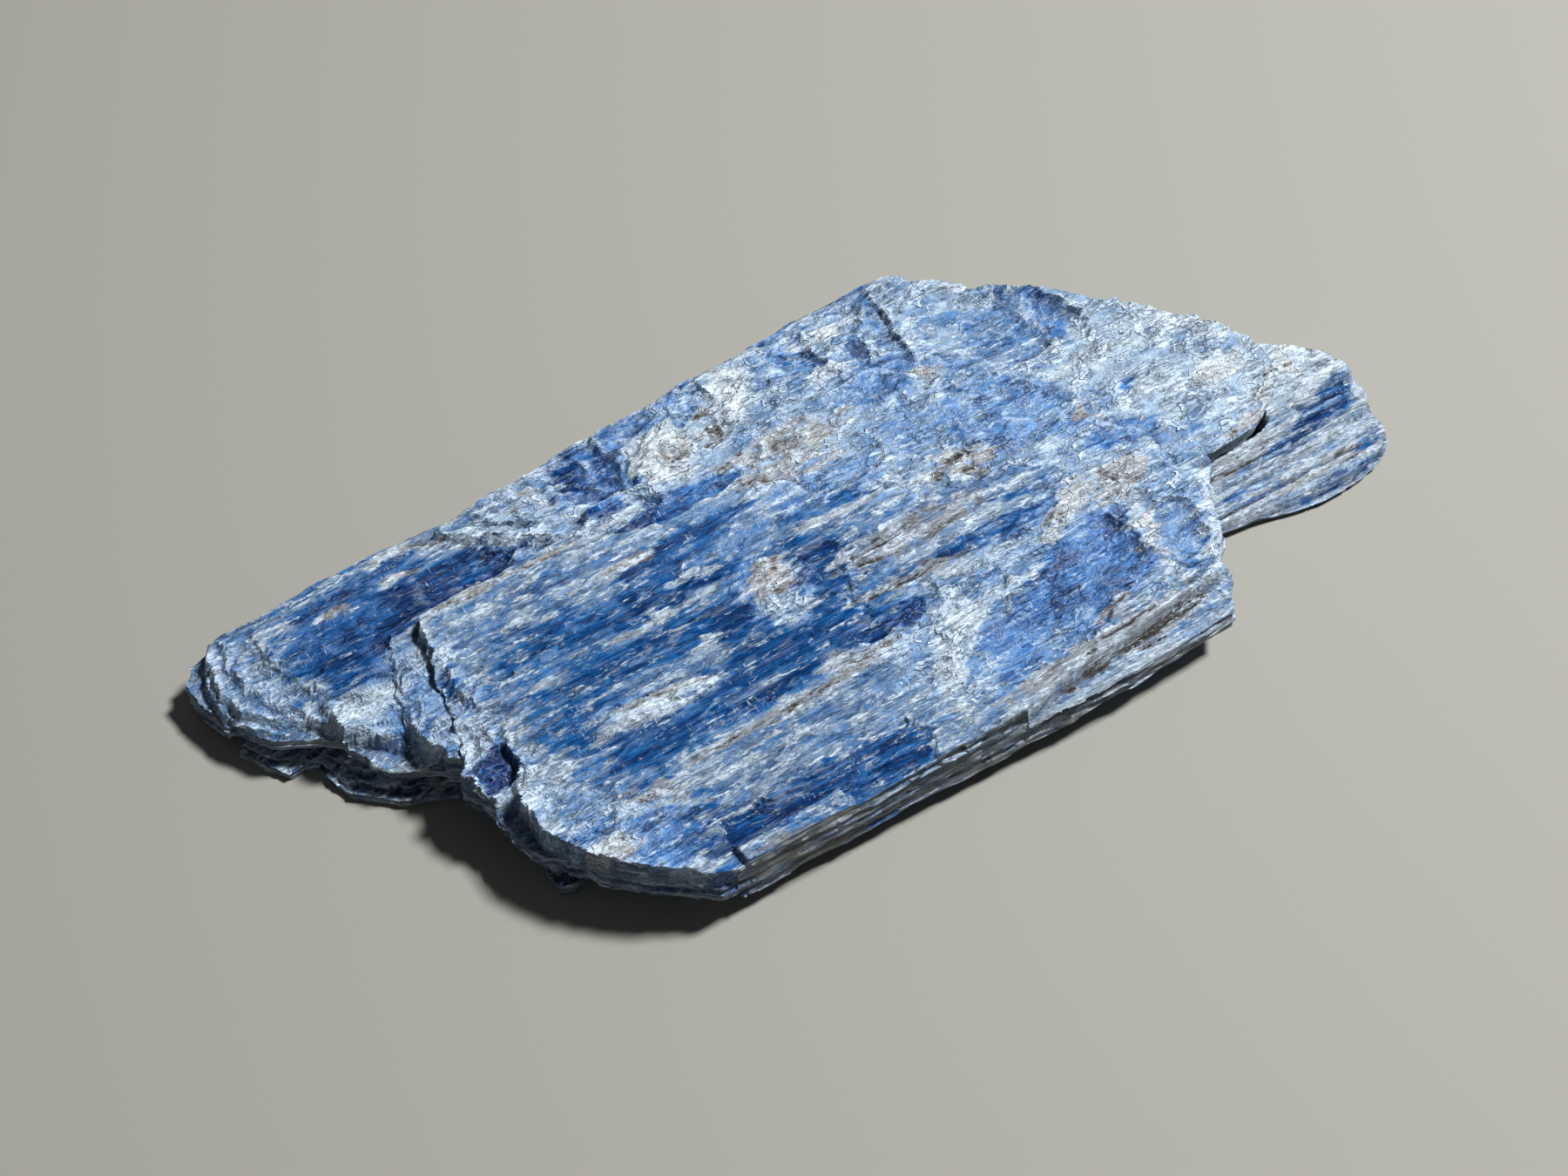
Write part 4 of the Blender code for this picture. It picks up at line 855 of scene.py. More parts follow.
# Each roof: start, end, width, foot, crest, skew.
FRONT_ROOFS = [
    ((19.2, -14.6), (21.2, -6.8), 3.0, 7.1, 7.25, 0.3), ((1.9, -2.9), (12.4, -2.2), 1.8, 6.9, 7.6, 0.4),
    ((15.0, -6.4), (23.6, -6.2), 1.8, 6.8, 7.35, -0.3), ((2.4, -13.8), (6.4, -7.2), 2.4, 7.1, 7.3, -0.3),
    ((-0.1, -5.3), (1.5, -0.9), 0.5, 7.0, 7.75, 0.2), ((-14.0, -9.9), (1.0, -9.0), 1.2, 7.1, 7.35, 0.4),
    ((-20.0, -4.6), (-10.2, -5.2), 1.7, 7.4, 7.85, -0.3), ((14.4, -7.0), (17.8, -4.0), 0.8, 6.9, 7.35, 0.2),
]  # fmt: skip
FRONT_TONES = [
    (-26.6, 4.0, 1.3, 5.0, 0, 0.56), (-18.5, 6.4, 5.6, 2.3, 0, 0.5), (-25.0, -5.5, 2.2, 3.2, 0, 0.52),
    (-11.0, -3.2, 11.5, 5.6, 2, 0.25), (-13.0, 2.8, 9.5, 1.3, 0, 0.2), (-7.0, 5.0, 4.4, 1.0, 3, 0.2),
    (-18.0, 4.4, 4.0, 0.5, 0, 0.3), (-12.0, 0.7, 4.4, 0.25, 2, 0.9), (-21.2, 0.2, 1.2, 0.3, 0, 0.9),
    (-19.4, -5.2, 1.0, 0.22, 0, 0.95), (-12.0, -6.9, 1.9, 0.28, 24, 0.85), (-14.0, -3.3, 4.6, 0.8, 0, 0.42),
    (-14.4, -4.9, 4.4, 0.75, -8, 0.9), (-15.6, -5.2, 1.6, 0.55, -10, 1.0), (-6.0, -6.6, 5.6, 1.9, 0, 0.2),
    (-8.0, -1.8, 2.7, 1.0, 4, 0.06), (-16.5, -7.4, 3.0, 1.3, 0, 0.15), (-3.8, -0.6, 1.5, 1.2, 0, 0.86),
    (-4.2, -3.0, 2.0, 1.2, -40, 0.6), (-10.0, -3.0, 0.8, 0.9, 0, 0.7), (-9.0, -9.7, 6.5, 0.35, 1, 0.85),
    (-2.0, -9.0, 3.2, 0.3, 9, 0.9), (-3.5, -8.35, 1.0, 0.45, 3, 1.05), (-8.0, -12.1, 10.0, 2.4, 0, 0.5),
    (-17.5, -10.6, 3.0, 0.8, -20, 0.7), (-9.0, -15.3, 8.6, 0.95, 0, 0.2), (-15.6, -14.2, 2.4, 0.9, -25, 0.25),
    (-9.0, -17.1, 7.0, 0.9, 0, 0.42), (-20.6, -13.4, 4.8, 4.0, -40, 0.27), (-22.6, -12.3, 1.3, 0.7, -20, 0.8),
    (-18.2, -16.4, 1.8, 0.5, -20, 0.6), (-20.6, -10.4, 4.6, 0.5, -25, 0.7), (-23.8, -9.0, 2.4, 1.4, 0, 0.46),
    (-26.3, -3.0, 1.3, 1.2, 0, 0.05), (-24.3, -2.2, 0.5, 1.8, 8, 0.88), (-26.6, -0.4, 0.9, 1.3, 0, 0.9),
    (-24.5, -5.6, 1.8, 1.6, 0, 0.72), (7.0, -2.2, 5.4, 1.1, 2, 0.62), (11.6, -3.2, 3.8, 0.4, 0, 0.14),
    (11.5, -4.8, 5.8, 0.7, 0, 0.14), (2.0, -4.6, 2.8, 0.8, 0, 0.4), (1.5, -7.1, 3.0, 0.8, 5, 0.14),
    (1.5, -8.35, 3.4, 0.25, 6, 0.92), (4.7, -9.4, 2.8, 0.7, 60, 0.86), (2.4, -12.8, 2.0, 0.8, 72, 0.86),
    (3.0, -14.5, 2.2, 0.45, 0, 0.85), (9.8, -13.0, 5.4, 2.3, 4, 0.22), (6.2, -12.7, 1.6, 1.5, 0, 0.48),
    (9.4, -14.4, 0.8, 0.8, 80, 0.55), (8.2, -14.6, 0.5, 1.0, 0, 0.1), (15.0, -10.4, 4.6, 2.6, 6, 0.2),
    (12.5, -9.5, 0.9, 0.9, 0, 0.2), (16.8, -8.1, 1.8, 0.35, 0, 0.25), (20.0, -10.8, 0.8, 4.2, -8, 0.9),
    (21.7, -11.8, 1.3, 2.1, -15, 0.24), (24.2, -12.2, 0.8, 4.0, -28, 0.95), (20.0, -5.8, 3.4, 1.3, 0, 0.68),
    (15.6, -6.2, 2.7, 0.5, 34, 0.86), (8.0, -6.4, 5.0, 0.5, 0, 0.7), (10.0, -7.7, 3.0, 0.4, 0, 0.35),
    (8.5, -9.2, 3.4, 0.45, 6, 0.85), (1.0, -15.6, 3.2, 1.9, 0, 0.56), (1.2, -15.5, 0.25, 0.7, 0, 1.0),
    (-4.6, -16.4, 2.4, 0.7, 0, 0.15), (14.0, -17.8, 9.0, 0.8, 1, 0.78), (13.0, -16.2, 8.0, 0.6, 2, 0.6),
    (3.4, 3.4, 4.2, 1.5, 0, 0.36), (3.0, 1.7, 3.2, 0.35, -4, 0.95), (8.0, 3.4, 0.5, 1.2, 0, 0.9),
    (-19.0, 8.9, 5.8, 0.35, 0, 0.95), (-11.5, 5.4, 2.0, 0.32, 3, 0.88), (-14.4, 4.2, 1.7, 0.6, 0, 0.5),
    (-8.3, 2.5, 2.0, 0.28, 2, 0.85), (-0.4, -1.3, 1.9, 1.1, 10, 0.16), (0.7, -3.0, 2.4, 0.22, 70, 1.0),
    (-25.8, 3.2, 0.4, 1.8, 10, 0.1), (-5.0, 3.0, 3.4, 1.0, 0, 0.42), (-20.5, 1.4, 3.6, 0.9, 0, 0.34),
]  # fmt: skip
# Patches with crisp borders: clear blue crystal in the strip along the front edge and in the square pit at the left,
# and a painted shadow line between the strip and the lath below it. A patch is a tone and an outline.
FRONT_CLEAR_AND_SHADOW_LINE = [
    (0.16, [(-16.0, -14.4), (-13.4, -14.3), (-12.2, -15.05), (-8.0, -15.2), (-4.0, -14.9), (-2.6, -14.4),
     (-0.9, -15.8), (-2.0, -17.3), (-7.8, -17.3), (-8.2, -16.0), (-16.0, -16.1)]),
    (0.08, [(-27.4, -2.4), (-25.1, -2.2), (-25.0, -3.9), (-25.7, -4.7), (-27.3, -4.7)]),
    # A painted shadow: the dark line under the strip.
    (-0.1, [(-16.0, -15.9), (-8.1, -15.8), (-8.0, -16.12), (-16.0, -16.22)]),
]  # fmt: skip
# Other patches with crisp borders.
FRONT_PATCHES = [
    (0.22, [(5.0, -12.1), (6.7, -10.9), (8.6, -10.8), (10.5, -11.3), (12.8, -12.3), (9.4, -12.9), (7.6, -15.0),
     (6.0, -13.6)]),
    (0.4, [(9.4, -12.9), (12.8, -12.3), (13.8, -13.7), (13.0, -15.1), (9.9, -15.5), (7.8, -15.2), (8.0, -14.2)]),
    (0.24, [(12.8, -9.9), (14.7, -8.5), (17.1, -8.8), (18.7, -9.3), (19.2, -11.4), (19.1, -13.1), (16.2, -13.9),
     (14.3, -13.4), (13.5, -11.8)]),
    (0.34, [(20.0, -11.3), (21.6, -10.4), (23.5, -11.4), (22.7, -12.9), (20.5, -13.9), (19.6, -12.7)]),
    (0.1, [(-1.1, -8.0), (0.9, -7.4), (2.8, -7.3), (4.4, -7.4), (3.3, -8.2), (1.8, -8.8), (0.5, -8.6)]),
    (1.05, [(-4.3, -8.0), (-3.5, -7.7), (-2.4, -8.0), (-2.9, -8.6), (-4.0, -8.9), (-4.5, -8.5)]),
    (0.3, [(7.8, -4.2), (11.4, -4.4), (14.8, -5.0), (16.1, -5.3), (14.7, -6.3), (11.7, -6.2), (9.0, -5.8)]),
    (0.66, [(4.1, -2.4), (9.0, -2.3), (13.6, -3.4), (16.8, -4.4), (15.0, -4.7), (11.5, -4.3), (7.0, -4.2),
     (3.6, -3.7)]),
    (0.85, [(1.8, -11.7), (4.1, -9.8), (6.7, -9.2), (7.3, -10.0), (5.1, -11.6), (3.4, -13.4), (1.0, -14.5),
     (1.1, -13.3)]),
]  # fmt: skip
FRONT_STAINS = [
    (-3.8, -0.6, 1.4, 1.6, 0, 0.8), (-9.0, -9.7, 6.5, 0.4, 1, 0.8), (-2.0, -9.1, 3.2, 0.4, 9, 0.7),
    (-22.6, -12.6, 1.5, 1.0, -20, 0.7), (-18.2, -10.6, 2.5, 0.7, -25, 0.6), (7.0, -2.2, 5.4, 1.0, 2, 0.72),
    (4.0, -5.1, 4.0, 0.5, 2, 0.7), (20.0, -5.8, 3.2, 1.2, 0, 0.68), (15.6, -6.2, 3.0, 0.6, 34, 0.8),
    (13.0, -16.1, 8.0, 0.7, 2, 0.95), (-11.5, 5.4, 2.0, 0.4, 3, 0.9), (-19.0, 9.0, 6.0, 0.35, 0, 0.6),
    (-12.0, -17.4, 3.0, 0.35, 0, 0.7), (14.0, -14.6, 1.4, 0.5, 15, 0.7), (20.0, -10.5, 1.0, 4.0, -8, 0.5),
    (-14.6, -4.6, 3.0, 0.5, -8, 0.5), (12.0, 0.4, 3.0, 0.7, -20, 0.7), (2.0, 6.6, 4.0, 0.9, -8, 0.7),
]  # fmt: skip


# %% Front blade: relief and mesh
def plate_finish(z, x, y, tone, stains, stain_seed, bowls, seed):
    """The last steps of either plate: stains, fine cleavage and then the bowls, which so stay smooth. Gives
    height, tone, stain and how lined the top is."""
    stain = shaded_spots(x, y, 0.0, stains, 0.8, stain_seed) + 0.14 * ease(0.4, 0.8, tone)
    lined = shaded_spots(x, y, 1.0, CRUSHED, 0.8, 581)
    z = cleave(z, x, y, ease(0.15, 0.75, tone), seed, lined)
    for bowl in bowls:
        z = add_bowl(z, x, y, *bowl)
    return z, tone, stain, lined


def front_relief(x, y):
    """Height, tone, stain and how lined the front blade's top is."""
    z = np.full(x.shape, 4.6) + 0.02 * (x + 5) * (x > 0)
    z = stack(z, x, y, FRONT_SHEETS, FRONT_ROOFS, FRONT_FLAKES, 100)
    tone = shaded_spots(x, y, 0.5, FRONT_TONES, 0.8, 501)
    tone = np.minimum(tone, 0.6 + 0.65 * (tone - 0.6)) + 0.25 * rim_along(x, y, PARTING[:12], 571)
    tone = add_patches(tone, x, y, FRONT_PATCHES, 591, 0.85)
    tone = add_patches(tone, x, y, FRONT_CLEAR_AND_SHADOW_LINE, 591)
    return plate_finish(z, x, y, tone, FRONT_STAINS, 541, FRONT_BOWLS, 601)


def front_underside(x, y):
    """The wall's foot: a lip 1.8 mm above the floor along the middle of the front, 2.7 mm elsewhere."""
    lip = ease(-17.5, -15.5, x) * ease(11.0, 7.0, x) * (y < -14)
    return 2.8 - 0.9 * lip


def front_look(x, y, z, edge_tone):
    """The front wall is brown grey, paler at its right; the left wall gets painted shade: a lower tone and less stain.
    """
    tone, stain = wall_look(x, y, z, edge_tone)
    brown = ease(-16.0, -17.0, y) * ease(20.0, -2.0, x) * ease(-20.0, -14.0, x)
    # Painted shade: the left wall, which faces away from the light, is made darker and bluer.
    left = ease(-15.0, -20.0, x)
    return tone - 0.05 * brown - 0.1 * left, stain + 0.4 * brown - 0.2 * left


FRONT_GRID = (285, 225)
front = crystal("front_crystal", FRONT_BORDER, FRONT_GRID, front_relief, front_underside, 11, look=front_look)
finish(front, "front_blade", squares(FRONT_GRID))


# %% [markdown]
# ## The back blade
# The full-length plate behind. Stepped sheets curl round its left nose over a deep-blue face. Its far edge is
# broken across the blades into blocks and grooves, a shell-shaped chip has left a hollow near the far corner,
# and its right third is frayed nearly white.

# %% Back blade: border, sheets and spots
SEAM_GAP = 0.1  # the hairline between the two plates
BACK_SEAM = [(x, y + SEAM_GAP) for x, y in PARTING[1:]]
BACK_BORDER = (
    [(-27.6, -1.5), (-26.4, -0.9), (-25.9, 1.4), (-25.7, 3.4), (-25.2, 5.4), (-25.0, 7.9), (-24.6, 9.3),
     *BACK_SEAM, (28.2, -6.4)],
    [(28.2, -6.4), (33.0, -6.0), (34.5, -5.1), (36.0, -4.1), (37.0, -2.7), (37.3, -0.9), (36.9, 0.6), (35.8, 2.5),
     (34.6, 4.1), (32.8, 5.9), (31.1, 7.5), (28.9, 9.4), (26.4, 11.4), (24.0, 13.3), (21.6, 15.5), (19.6, 17.0),
     (18.0, 18.8)],
    [(-38.7, 16.05), (-32.7, 16.1), (-25.2, 16.7), (-17.6, 16.4), (-12.3, 16.8), (-6.4, 17.3), (-2.4, 17.9),
     (4.9, 18.2), (8.9, 18.6), (15.3, 18.8), (18.0, 18.8)],
    [(-27.6, -1.5), (-28.6, -0.5), (-29.2, 0.2), (-30.4, 0.9), (-31.8, 1.6), (-32.7, 3.2), (-33.3, 4.6), (-34.3, 6.0),
     (-35.6, 6.5), (-37.0, 7.4), (-38.7, 9.4), (-39.7, 11.2), (-40.3, 13.2), (-40.4, 15.0), (-39.7, 15.9),
     (-38.7, 16.05)],
)  # fmt: skip
BACK_SHEETS = [
    (3.95, (0.02, 0.01), [(-36.8, 17.0), (-38.7, 15.3), (-39.5, 13.4), (-39.5, 11.4), (-39.0, 9.9), (-37.0, 7.7),
     (-35.0, 6.2), (-33.0, 8.0), (-33.0, 17.0)], 0.2, 0.15),
    (4.6, (0, 0), [(-37.9, 16.6), (-38.9, 14.6), (-39.0, 12.4), (-38.4, 10.1), (-36.5, 8.1), (-35.0, 7.1),
     (-33.4, 5.8), (-32.2, 4.4), (-31.0, 3.0), (-29.6, 1.8), (-28.6, 0.7), (-27.0, -2.0), (-20.0, 2.0), (20.0, -9.0),
     (28.4, -7.2), (33.0, -6.5), (36.2, -4.6), (37.2, -3.0), (37.5, -0.9), (36.8, 0.9), (34.4, 4.5), (24.0, 13.7),
     (18.0, 19.8), (8.9, 19.6), (-12.3, 18.0), (-32.7, 17.4)], 0.5, 0.2),
    (5.2, (0.03, 0), [(-37.4, 15.6), (-37.9, 13.5), (-37.3, 11.2), (-36.2, 9.3), (-35.0, 8.0), (-33.8, 6.1),
     (-32.7, 4.3), (-31.0, 3.2), (-28.8, 2.4), (-26.0, 2.4), (-20.0, 6.0), (-12.0, 8.0), (-12.0, 16.0), (-25.0, 16.1),
     (-32.5, 15.6)], 0.45, 0.2),
    (5.8, (0.02, -0.01), [(-35.4, 14.8), (-35.0, 11.2), (-34.0, 9.8), (-33.0, 7.6), (-28.5, 7.2), (-28.3, 8.4),
     (-27.9, 9.2), (-27.0, 9.3), (-24.0, 9.0), (-14.6, 9.0), (-17.4, 12.6), (-20.5, 15.0), (-24.0, 15.9),
     (-32.0, 15.4)], 1.2, 0.3),
    (5.7, (-0.02, 0.02), [(-33.6, 7.4), (-33.4, 4.7), (-30.2, 4.1), (-28.2, 5.0), (-28.1, 7.2), (-30.5, 7.5)], 0.5,
     0.2),
    (6.25, (0.05, 0.0), [(-29.4, 0.6), (-28.4, -1.7), (-24.0, -1.5), (-23.8, 3.7), (-23.2, 9.7), (-27.6, 9.4),
     (-28.8, 6.5), (-29.6, 3.5)], 1.0, 0.3),
    (6.1, (-0.006, -0.045), [(-21.4, 15.6), (-20.4, 14.9), (-17.6, 13.9), (-15.4, 12.0), (-13.6, 9.4), (-12.0, 6.0),
     (20.0, -8.0), (24.0, -8.0), (24.8, -3.0), (23.0, 1.0), (25.0, 4.0), (27.4, 6.6), (27.4, 10.0), (23.8, 13.1),
     (21.4, 15.3), (19.4, 16.8), (17.9, 18.5), (15.3, 18.9), (8.9, 18.6), (4.9, 18.0), (-2.4, 17.6), (-6.4, 17.0),
     (-12.3, 16.5), (-17.0, 16.0)], 0.3, 0.6),
    (5.45, (-0.09, -0.01), [(13.6, 7.4), (13.4, 2.0), (18.0, -5.0), (28.0, -6.9), (33.4, -6.4), (36.4, -4.6),
     (38.0, -1.6), (37.6, 0.8), (35.9, 3.6), (34.5, 5.0), (30.3, 9.2), (25.0, 13.2), (20.0, 10.2)], 0.5, 0.5),
    (6.7, (-0.01, -0.03), [(-13.4, 9.6), (-8.0, 4.0), (12.0, -2.0), (13.8, 4.2), (14.6, 9.0), (12.0, 11.4),
     (5.0, 10.9), (-1.0, 11.2), (-4.0, 10.6), (-8.5, 11.0), (-11.0, 11.4)], 0.35, 0.6),
]  # fmt: skip
BACK_FLAKES = [
    (5.6, (0.0, -0.06), [(-12.4, 16.2), (-8.4, 16.6), (-7.9, 13.4), (-8.6, 11.6), (-10.6, 11.4), (-12.2, 12.8)], 0.5,
     0.2),
    (6.1, (0.0, 0.1), [(-12.3, 10.1), (-8.0, 10.4), (-6.6, 9.2), (-8.0, 8.4), (-12.0, 8.1)], 0.5),
    (5.7, (0.0, -0.06), [(-6.8, 18.0), (-2.3, 18.6), (-2.2, 16.2), (-6.2, 15.2)]),
    (5.9, (0.0, -0.04), [(-2.6, 18.8), (-1.8, 18.8), (-1.7, 12.2), (-2.3, 11.8), (-2.7, 13.6)]),
    (6.0, (0.0, -0.03), [(5.6, 19.0), (6.9, 19.0), (7.0, 13.9), (6.1, 13.4)]),
    (6.0, (0.0, -0.03), [(7.7, 19.0), (8.7, 19.0), (8.6, 14.4), (7.9, 14.2)]),
    (5.3, (0.0, 0.0), [(-23.6, 12.4), (-19.2, 12.5), (-17.4, 11.4), (-18.2, 9.3), (-24.2, 9.2)], 0.7),
    (5.75, (0.0, -0.03), [(12.6, 19.0), (14.0, 19.0), (13.4, 15.4), (12.6, 14.6), (12.3, 15.6)], 0.4),
]  # fmt: skip
BACK_BOWLS = [
    ((20.4, 10.8), (5.6, 4.0), -38, 1.5, 6.0), ((25.6, 8.8), (1.3, 3.0), 12, 0.45, 5.5),
    ((23.4, 9.8), (0.8, 3.2), 4, 0.35, 5.3),
]  # fmt: skip
BACK_ROOFS = [
    ((-21.4, 15.3), (-12.6, 9.6), 1.5, 5.9, 6.6, -0.3), ((-7.4, 11.2), (-2.6, 14.8), 2.8, 6.2, 6.8, 0.2),
    ((0.6, 12.6), (4.6, 15.2), 2.4, 6.0, 6.5, 0.2), ((8.2, 12.6), (16.0, 17.6), 2.2, 5.9, 6.4, 0.2),
    ((22.6, 5.6), (31.0, 8.0), 1.8, 5.3, 5.9, 0.2), ((-13.0, 15.9), (-4.0, 16.9), 0.8, 5.9, 6.2, 0.0),
]  # fmt: skip
BACK_TONES = [
    (-38.2, 12.2, 3.0, 4.6, 0, 0.46), (-34.6, 10.2, 1.2, 4.4, 20, 0.6), (-28.6, 11.4, 5.6, 4.2, 0, 0.19),
    (-30.0, 15.7, 6.0, 0.7, 0, 0.45), (-25.0, 15.5, 1.8, 0.3, 0, 1.0), (-25.0, 13.4, 1.1, 0.5, 0, 0.85),
    (-30.0, 13.1, 0.6, 0.25, 0, 0.9), (-21.6, 10.8, 4.4, 2.0, -4, 0.03), (-31.0, 5.9, 2.5, 1.2, 0, 0.76),
    (-28.8, 3.4, 2.6, 1.7, 0, 0.4), (-26.6, 7.2, 1.9, 1.6, 0, 0.48), (-25.2, 9.4, 0.6, 0.5, 0, 0.95),
    (-17.4, 12.6, 5.6, 0.45, -33, 0.85), (-20.6, 15.2, 3.2, 1.0, -6, 0.6), (-14.0, 13.6, 2.6, 2.6, 0, 0.64),
    (-10.0, 13.8, 2.3, 2.4, 0, 0.16), (-10.4, 10.6, 1.6, 0.5, 0, 0.1), (-10.2, 9.5, 1.8, 0.4, 0, 0.86),
    (-7.5, 8.4, 3.6, 1.0, 0, 0.15), (-5.4, 7.4, 1.3, 0.3, 8, 0.98), (-4.8, 12.6, 2.7, 2.3, 0, 0.88),
    (-3.4, 14.2, 0.9, 1.2, 0, 1.0), (-4.2, 16.3, 3.4, 1.0, 0, 0.18), (-2.2, 14.0, 0.35, 2.4, 0, 0.1),
    (-1.0, 13.4, 1.2, 1.6, 0, 0.7), (2.0, 14.4, 2.0, 2.6, 0, 0.84), (4.0, 12.2, 1.7, 0.5, -10, 0.5),
    (6.4, 15.0, 2.4, 2.2, 0, 0.36), (8.2, 15.0, 0.4, 1.8, 0, 0.1), (6.4, 15.8, 0.4, 1.5, 0, 0.15),
    (9.4, 13.0, 1.3, 0.8, 0, 0.95), (10.4, 16.2, 2.2, 0.6, 0, 0.86), (12.6, 14.0, 1.8, 1.6, 50, 0.3),
    (12.0, 17.4, 5.0, 0.5, 2, 0.45), (12.0, 10.8, 3.6, 1.7, 0, 0.3), (9.4, 9.2, 2.4, 0.7, 0, 0.32),
    (3.0, 8.6, 4.6, 1.6, -5, 0.66), (2.0, 10.4, 3.4, 0.6, 0, 0.4), (14.3, 9.0, 0.9, 0.7, 0, 0.8),
    (14.4, 5.0, 0.3, 1.8, 0, 0.3), (10.6, 5.0, 2.8, 1.8, -20, 0.4), (17.6, 2.6, 4.6, 2.2, -6, 0.28),
    (19.6, 0.8, 2.1, 1.5, 0, 0.25), (16.6, 8.7, 0.9, 0.8, 0, 0.22), (20.4, 10.2, 3.6, 3.8, 0, 0.42),
    (19.0, 9.8, 1.2, 3.0, 20, 0.66), (23.0, 10.2, 0.9, 3.2, 8, 0.3), (25.5, 9.2, 0.6, 2.2, 8, 0.34),
    (24.4, 9.0, 0.5, 1.8, 4, 0.6), (17.2, 16.2, 2.2, 1.8, 0, 0.5), (20.4, 14.6, 3.0, 0.8, -40, 0.72),
    (29.6, 1.0, 9.0, 6.2, 0, 0.74), (28.0, 8.0, 3.0, 1.4, -40, 0.66), (33.8, 4.0, 3.6, 1.0, -48, 0.95),
    (23.4, -2.3, 2.6, 1.2, 0, 0.22), (27.0, 1.4, 0.6, 0.35, 0, 0.15), (35.0, 1.0, 1.2, 0.7, 0, 0.5),
    (28.8, 3.0, 1.3, 0.35, 0, 0.5), (33.0, 3.2, 1.0, 0.5, -20, 0.5), (27.0, -4.2, 2.2, 0.8, 0, 0.42),
    (30.0, -3.9, 0.8, 0.9, 0, 0.6), (33.0, -0.6, 2.0, 0.6, 0, 0.98), (12.4, 1.6, 2.4, 0.6, -25, 0.86),
    (25.0, 4.4, 4.0, 0.6, 6, 0.9), (34.6, -4.6, 2.6, 0.5, 35, 0.9), (24.2, 1.0, 1.8, 1.0, 0, 0.42),
]  # fmt: skip
# Other patches with crisp borders.
BACK_PATCHES = [
    (0.3, [(14.6, 6.9), (17.7, 6.8), (21.7, 3.9), (22.5, 0.5), (20.9, -1.3), (17.8, 0.2), (14.2, 2.2), (13.4, 4.7)]),
    (0.42, [(18.7, 12.4), (21.8, 12.9), (24.5, 10.7), (24.4, 8.1), (24.2, 6.5), (22.0, 6.4), (19.8, 7.2),
     (18.7, 9.6)]),
    (0.2, [(25.3, 11.8), (26.6, 10.4), (26.4, 8.2), (24.5, 6.4), (24.4, 8.3), (24.7, 10.2)]),
    (0.3, [(22.3, -0.9), (25.3, -1.5), (27.1, -3.6), (25.6, -4.8), (23.2, -3.1)]),
    (0.12, [(-10.8, 16.3), (-7.4, 16.4), (-7.0, 13.5), (-7.1, 11.0), (-9.9, 11.4), (-11.6, 14.1)]),
    (0.26, [(-6.3, 16.8), (-1.7, 17.0), (-0.1, 16.4), (-0.7, 14.8), (-2.1, 14.3), (-4.4, 15.8), (-6.0, 15.5)]),
    (0.95, [(-7.4, 12.9), (-4.3, 14.9), (-2.5, 14.7), (-2.4, 12.6), (-2.9, 11.5), (-5.0, 10.4), (-6.8, 10.6)]),
    (0.92, [(1.1, 16.7), (3.2, 16.5), (4.0, 15.5), (3.3, 13.7), (1.6, 12.3), (0.5, 12.6), (0.9, 14.8)]),
    (0.34, [(9.2, 15.7), (10.6, 14.4), (10.1, 13.1), (8.6, 13.5)]),
    (0.3, [(11.6, 14.2), (13.5, 15.2), (12.6, 12.9), (11.1, 12.3)]),
    (0.18, [(-8.1, 9.6), (-5.0, 9.3), (-0.9, 8.6), (-1.9, 7.0), (-5.2, 7.0), (-8.0, 8.0)]),
]  # fmt: skip
BACK_STAINS = [
    (-25.0, 13.4, 1.1, 0.5, 0, 0.7), (-30.0, 13.1, 0.7, 0.3, 0, 0.7), (-21.0, 15.2, 3.0, 0.8, 0, 0.55),
    (3.0, 8.6, 4.8, 1.6, -5, 0.62), (12.6, 1.4, 2.4, 0.7, -25, 0.75), (14.4, 9.2, 0.9, 0.8, 0, 0.65),
    (-4.8, 12.4, 2.4, 2.0, 0, 0.45), (-1.0, 13.4, 1.2, 1.8, 0, 0.6), (33.0, -1.0, 2.4, 0.8, 0, 0.5),
    (22.0, 0.4, 0.5, 1.0, 0, 0.9), (35.4, -3.6, 1.8, 0.5, 40, 0.85), (20.6, 15.8, 1.8, 0.35, -45, 0.6),
    (32.4, -5.6, 2.4, 0.4, 5, 0.8), (-17.0, 9.4, 3.4, 0.3, 0, 0.6), (-14.0, 14.0, 2.0, 1.8, 0, 0.45),
]  # fmt: skip


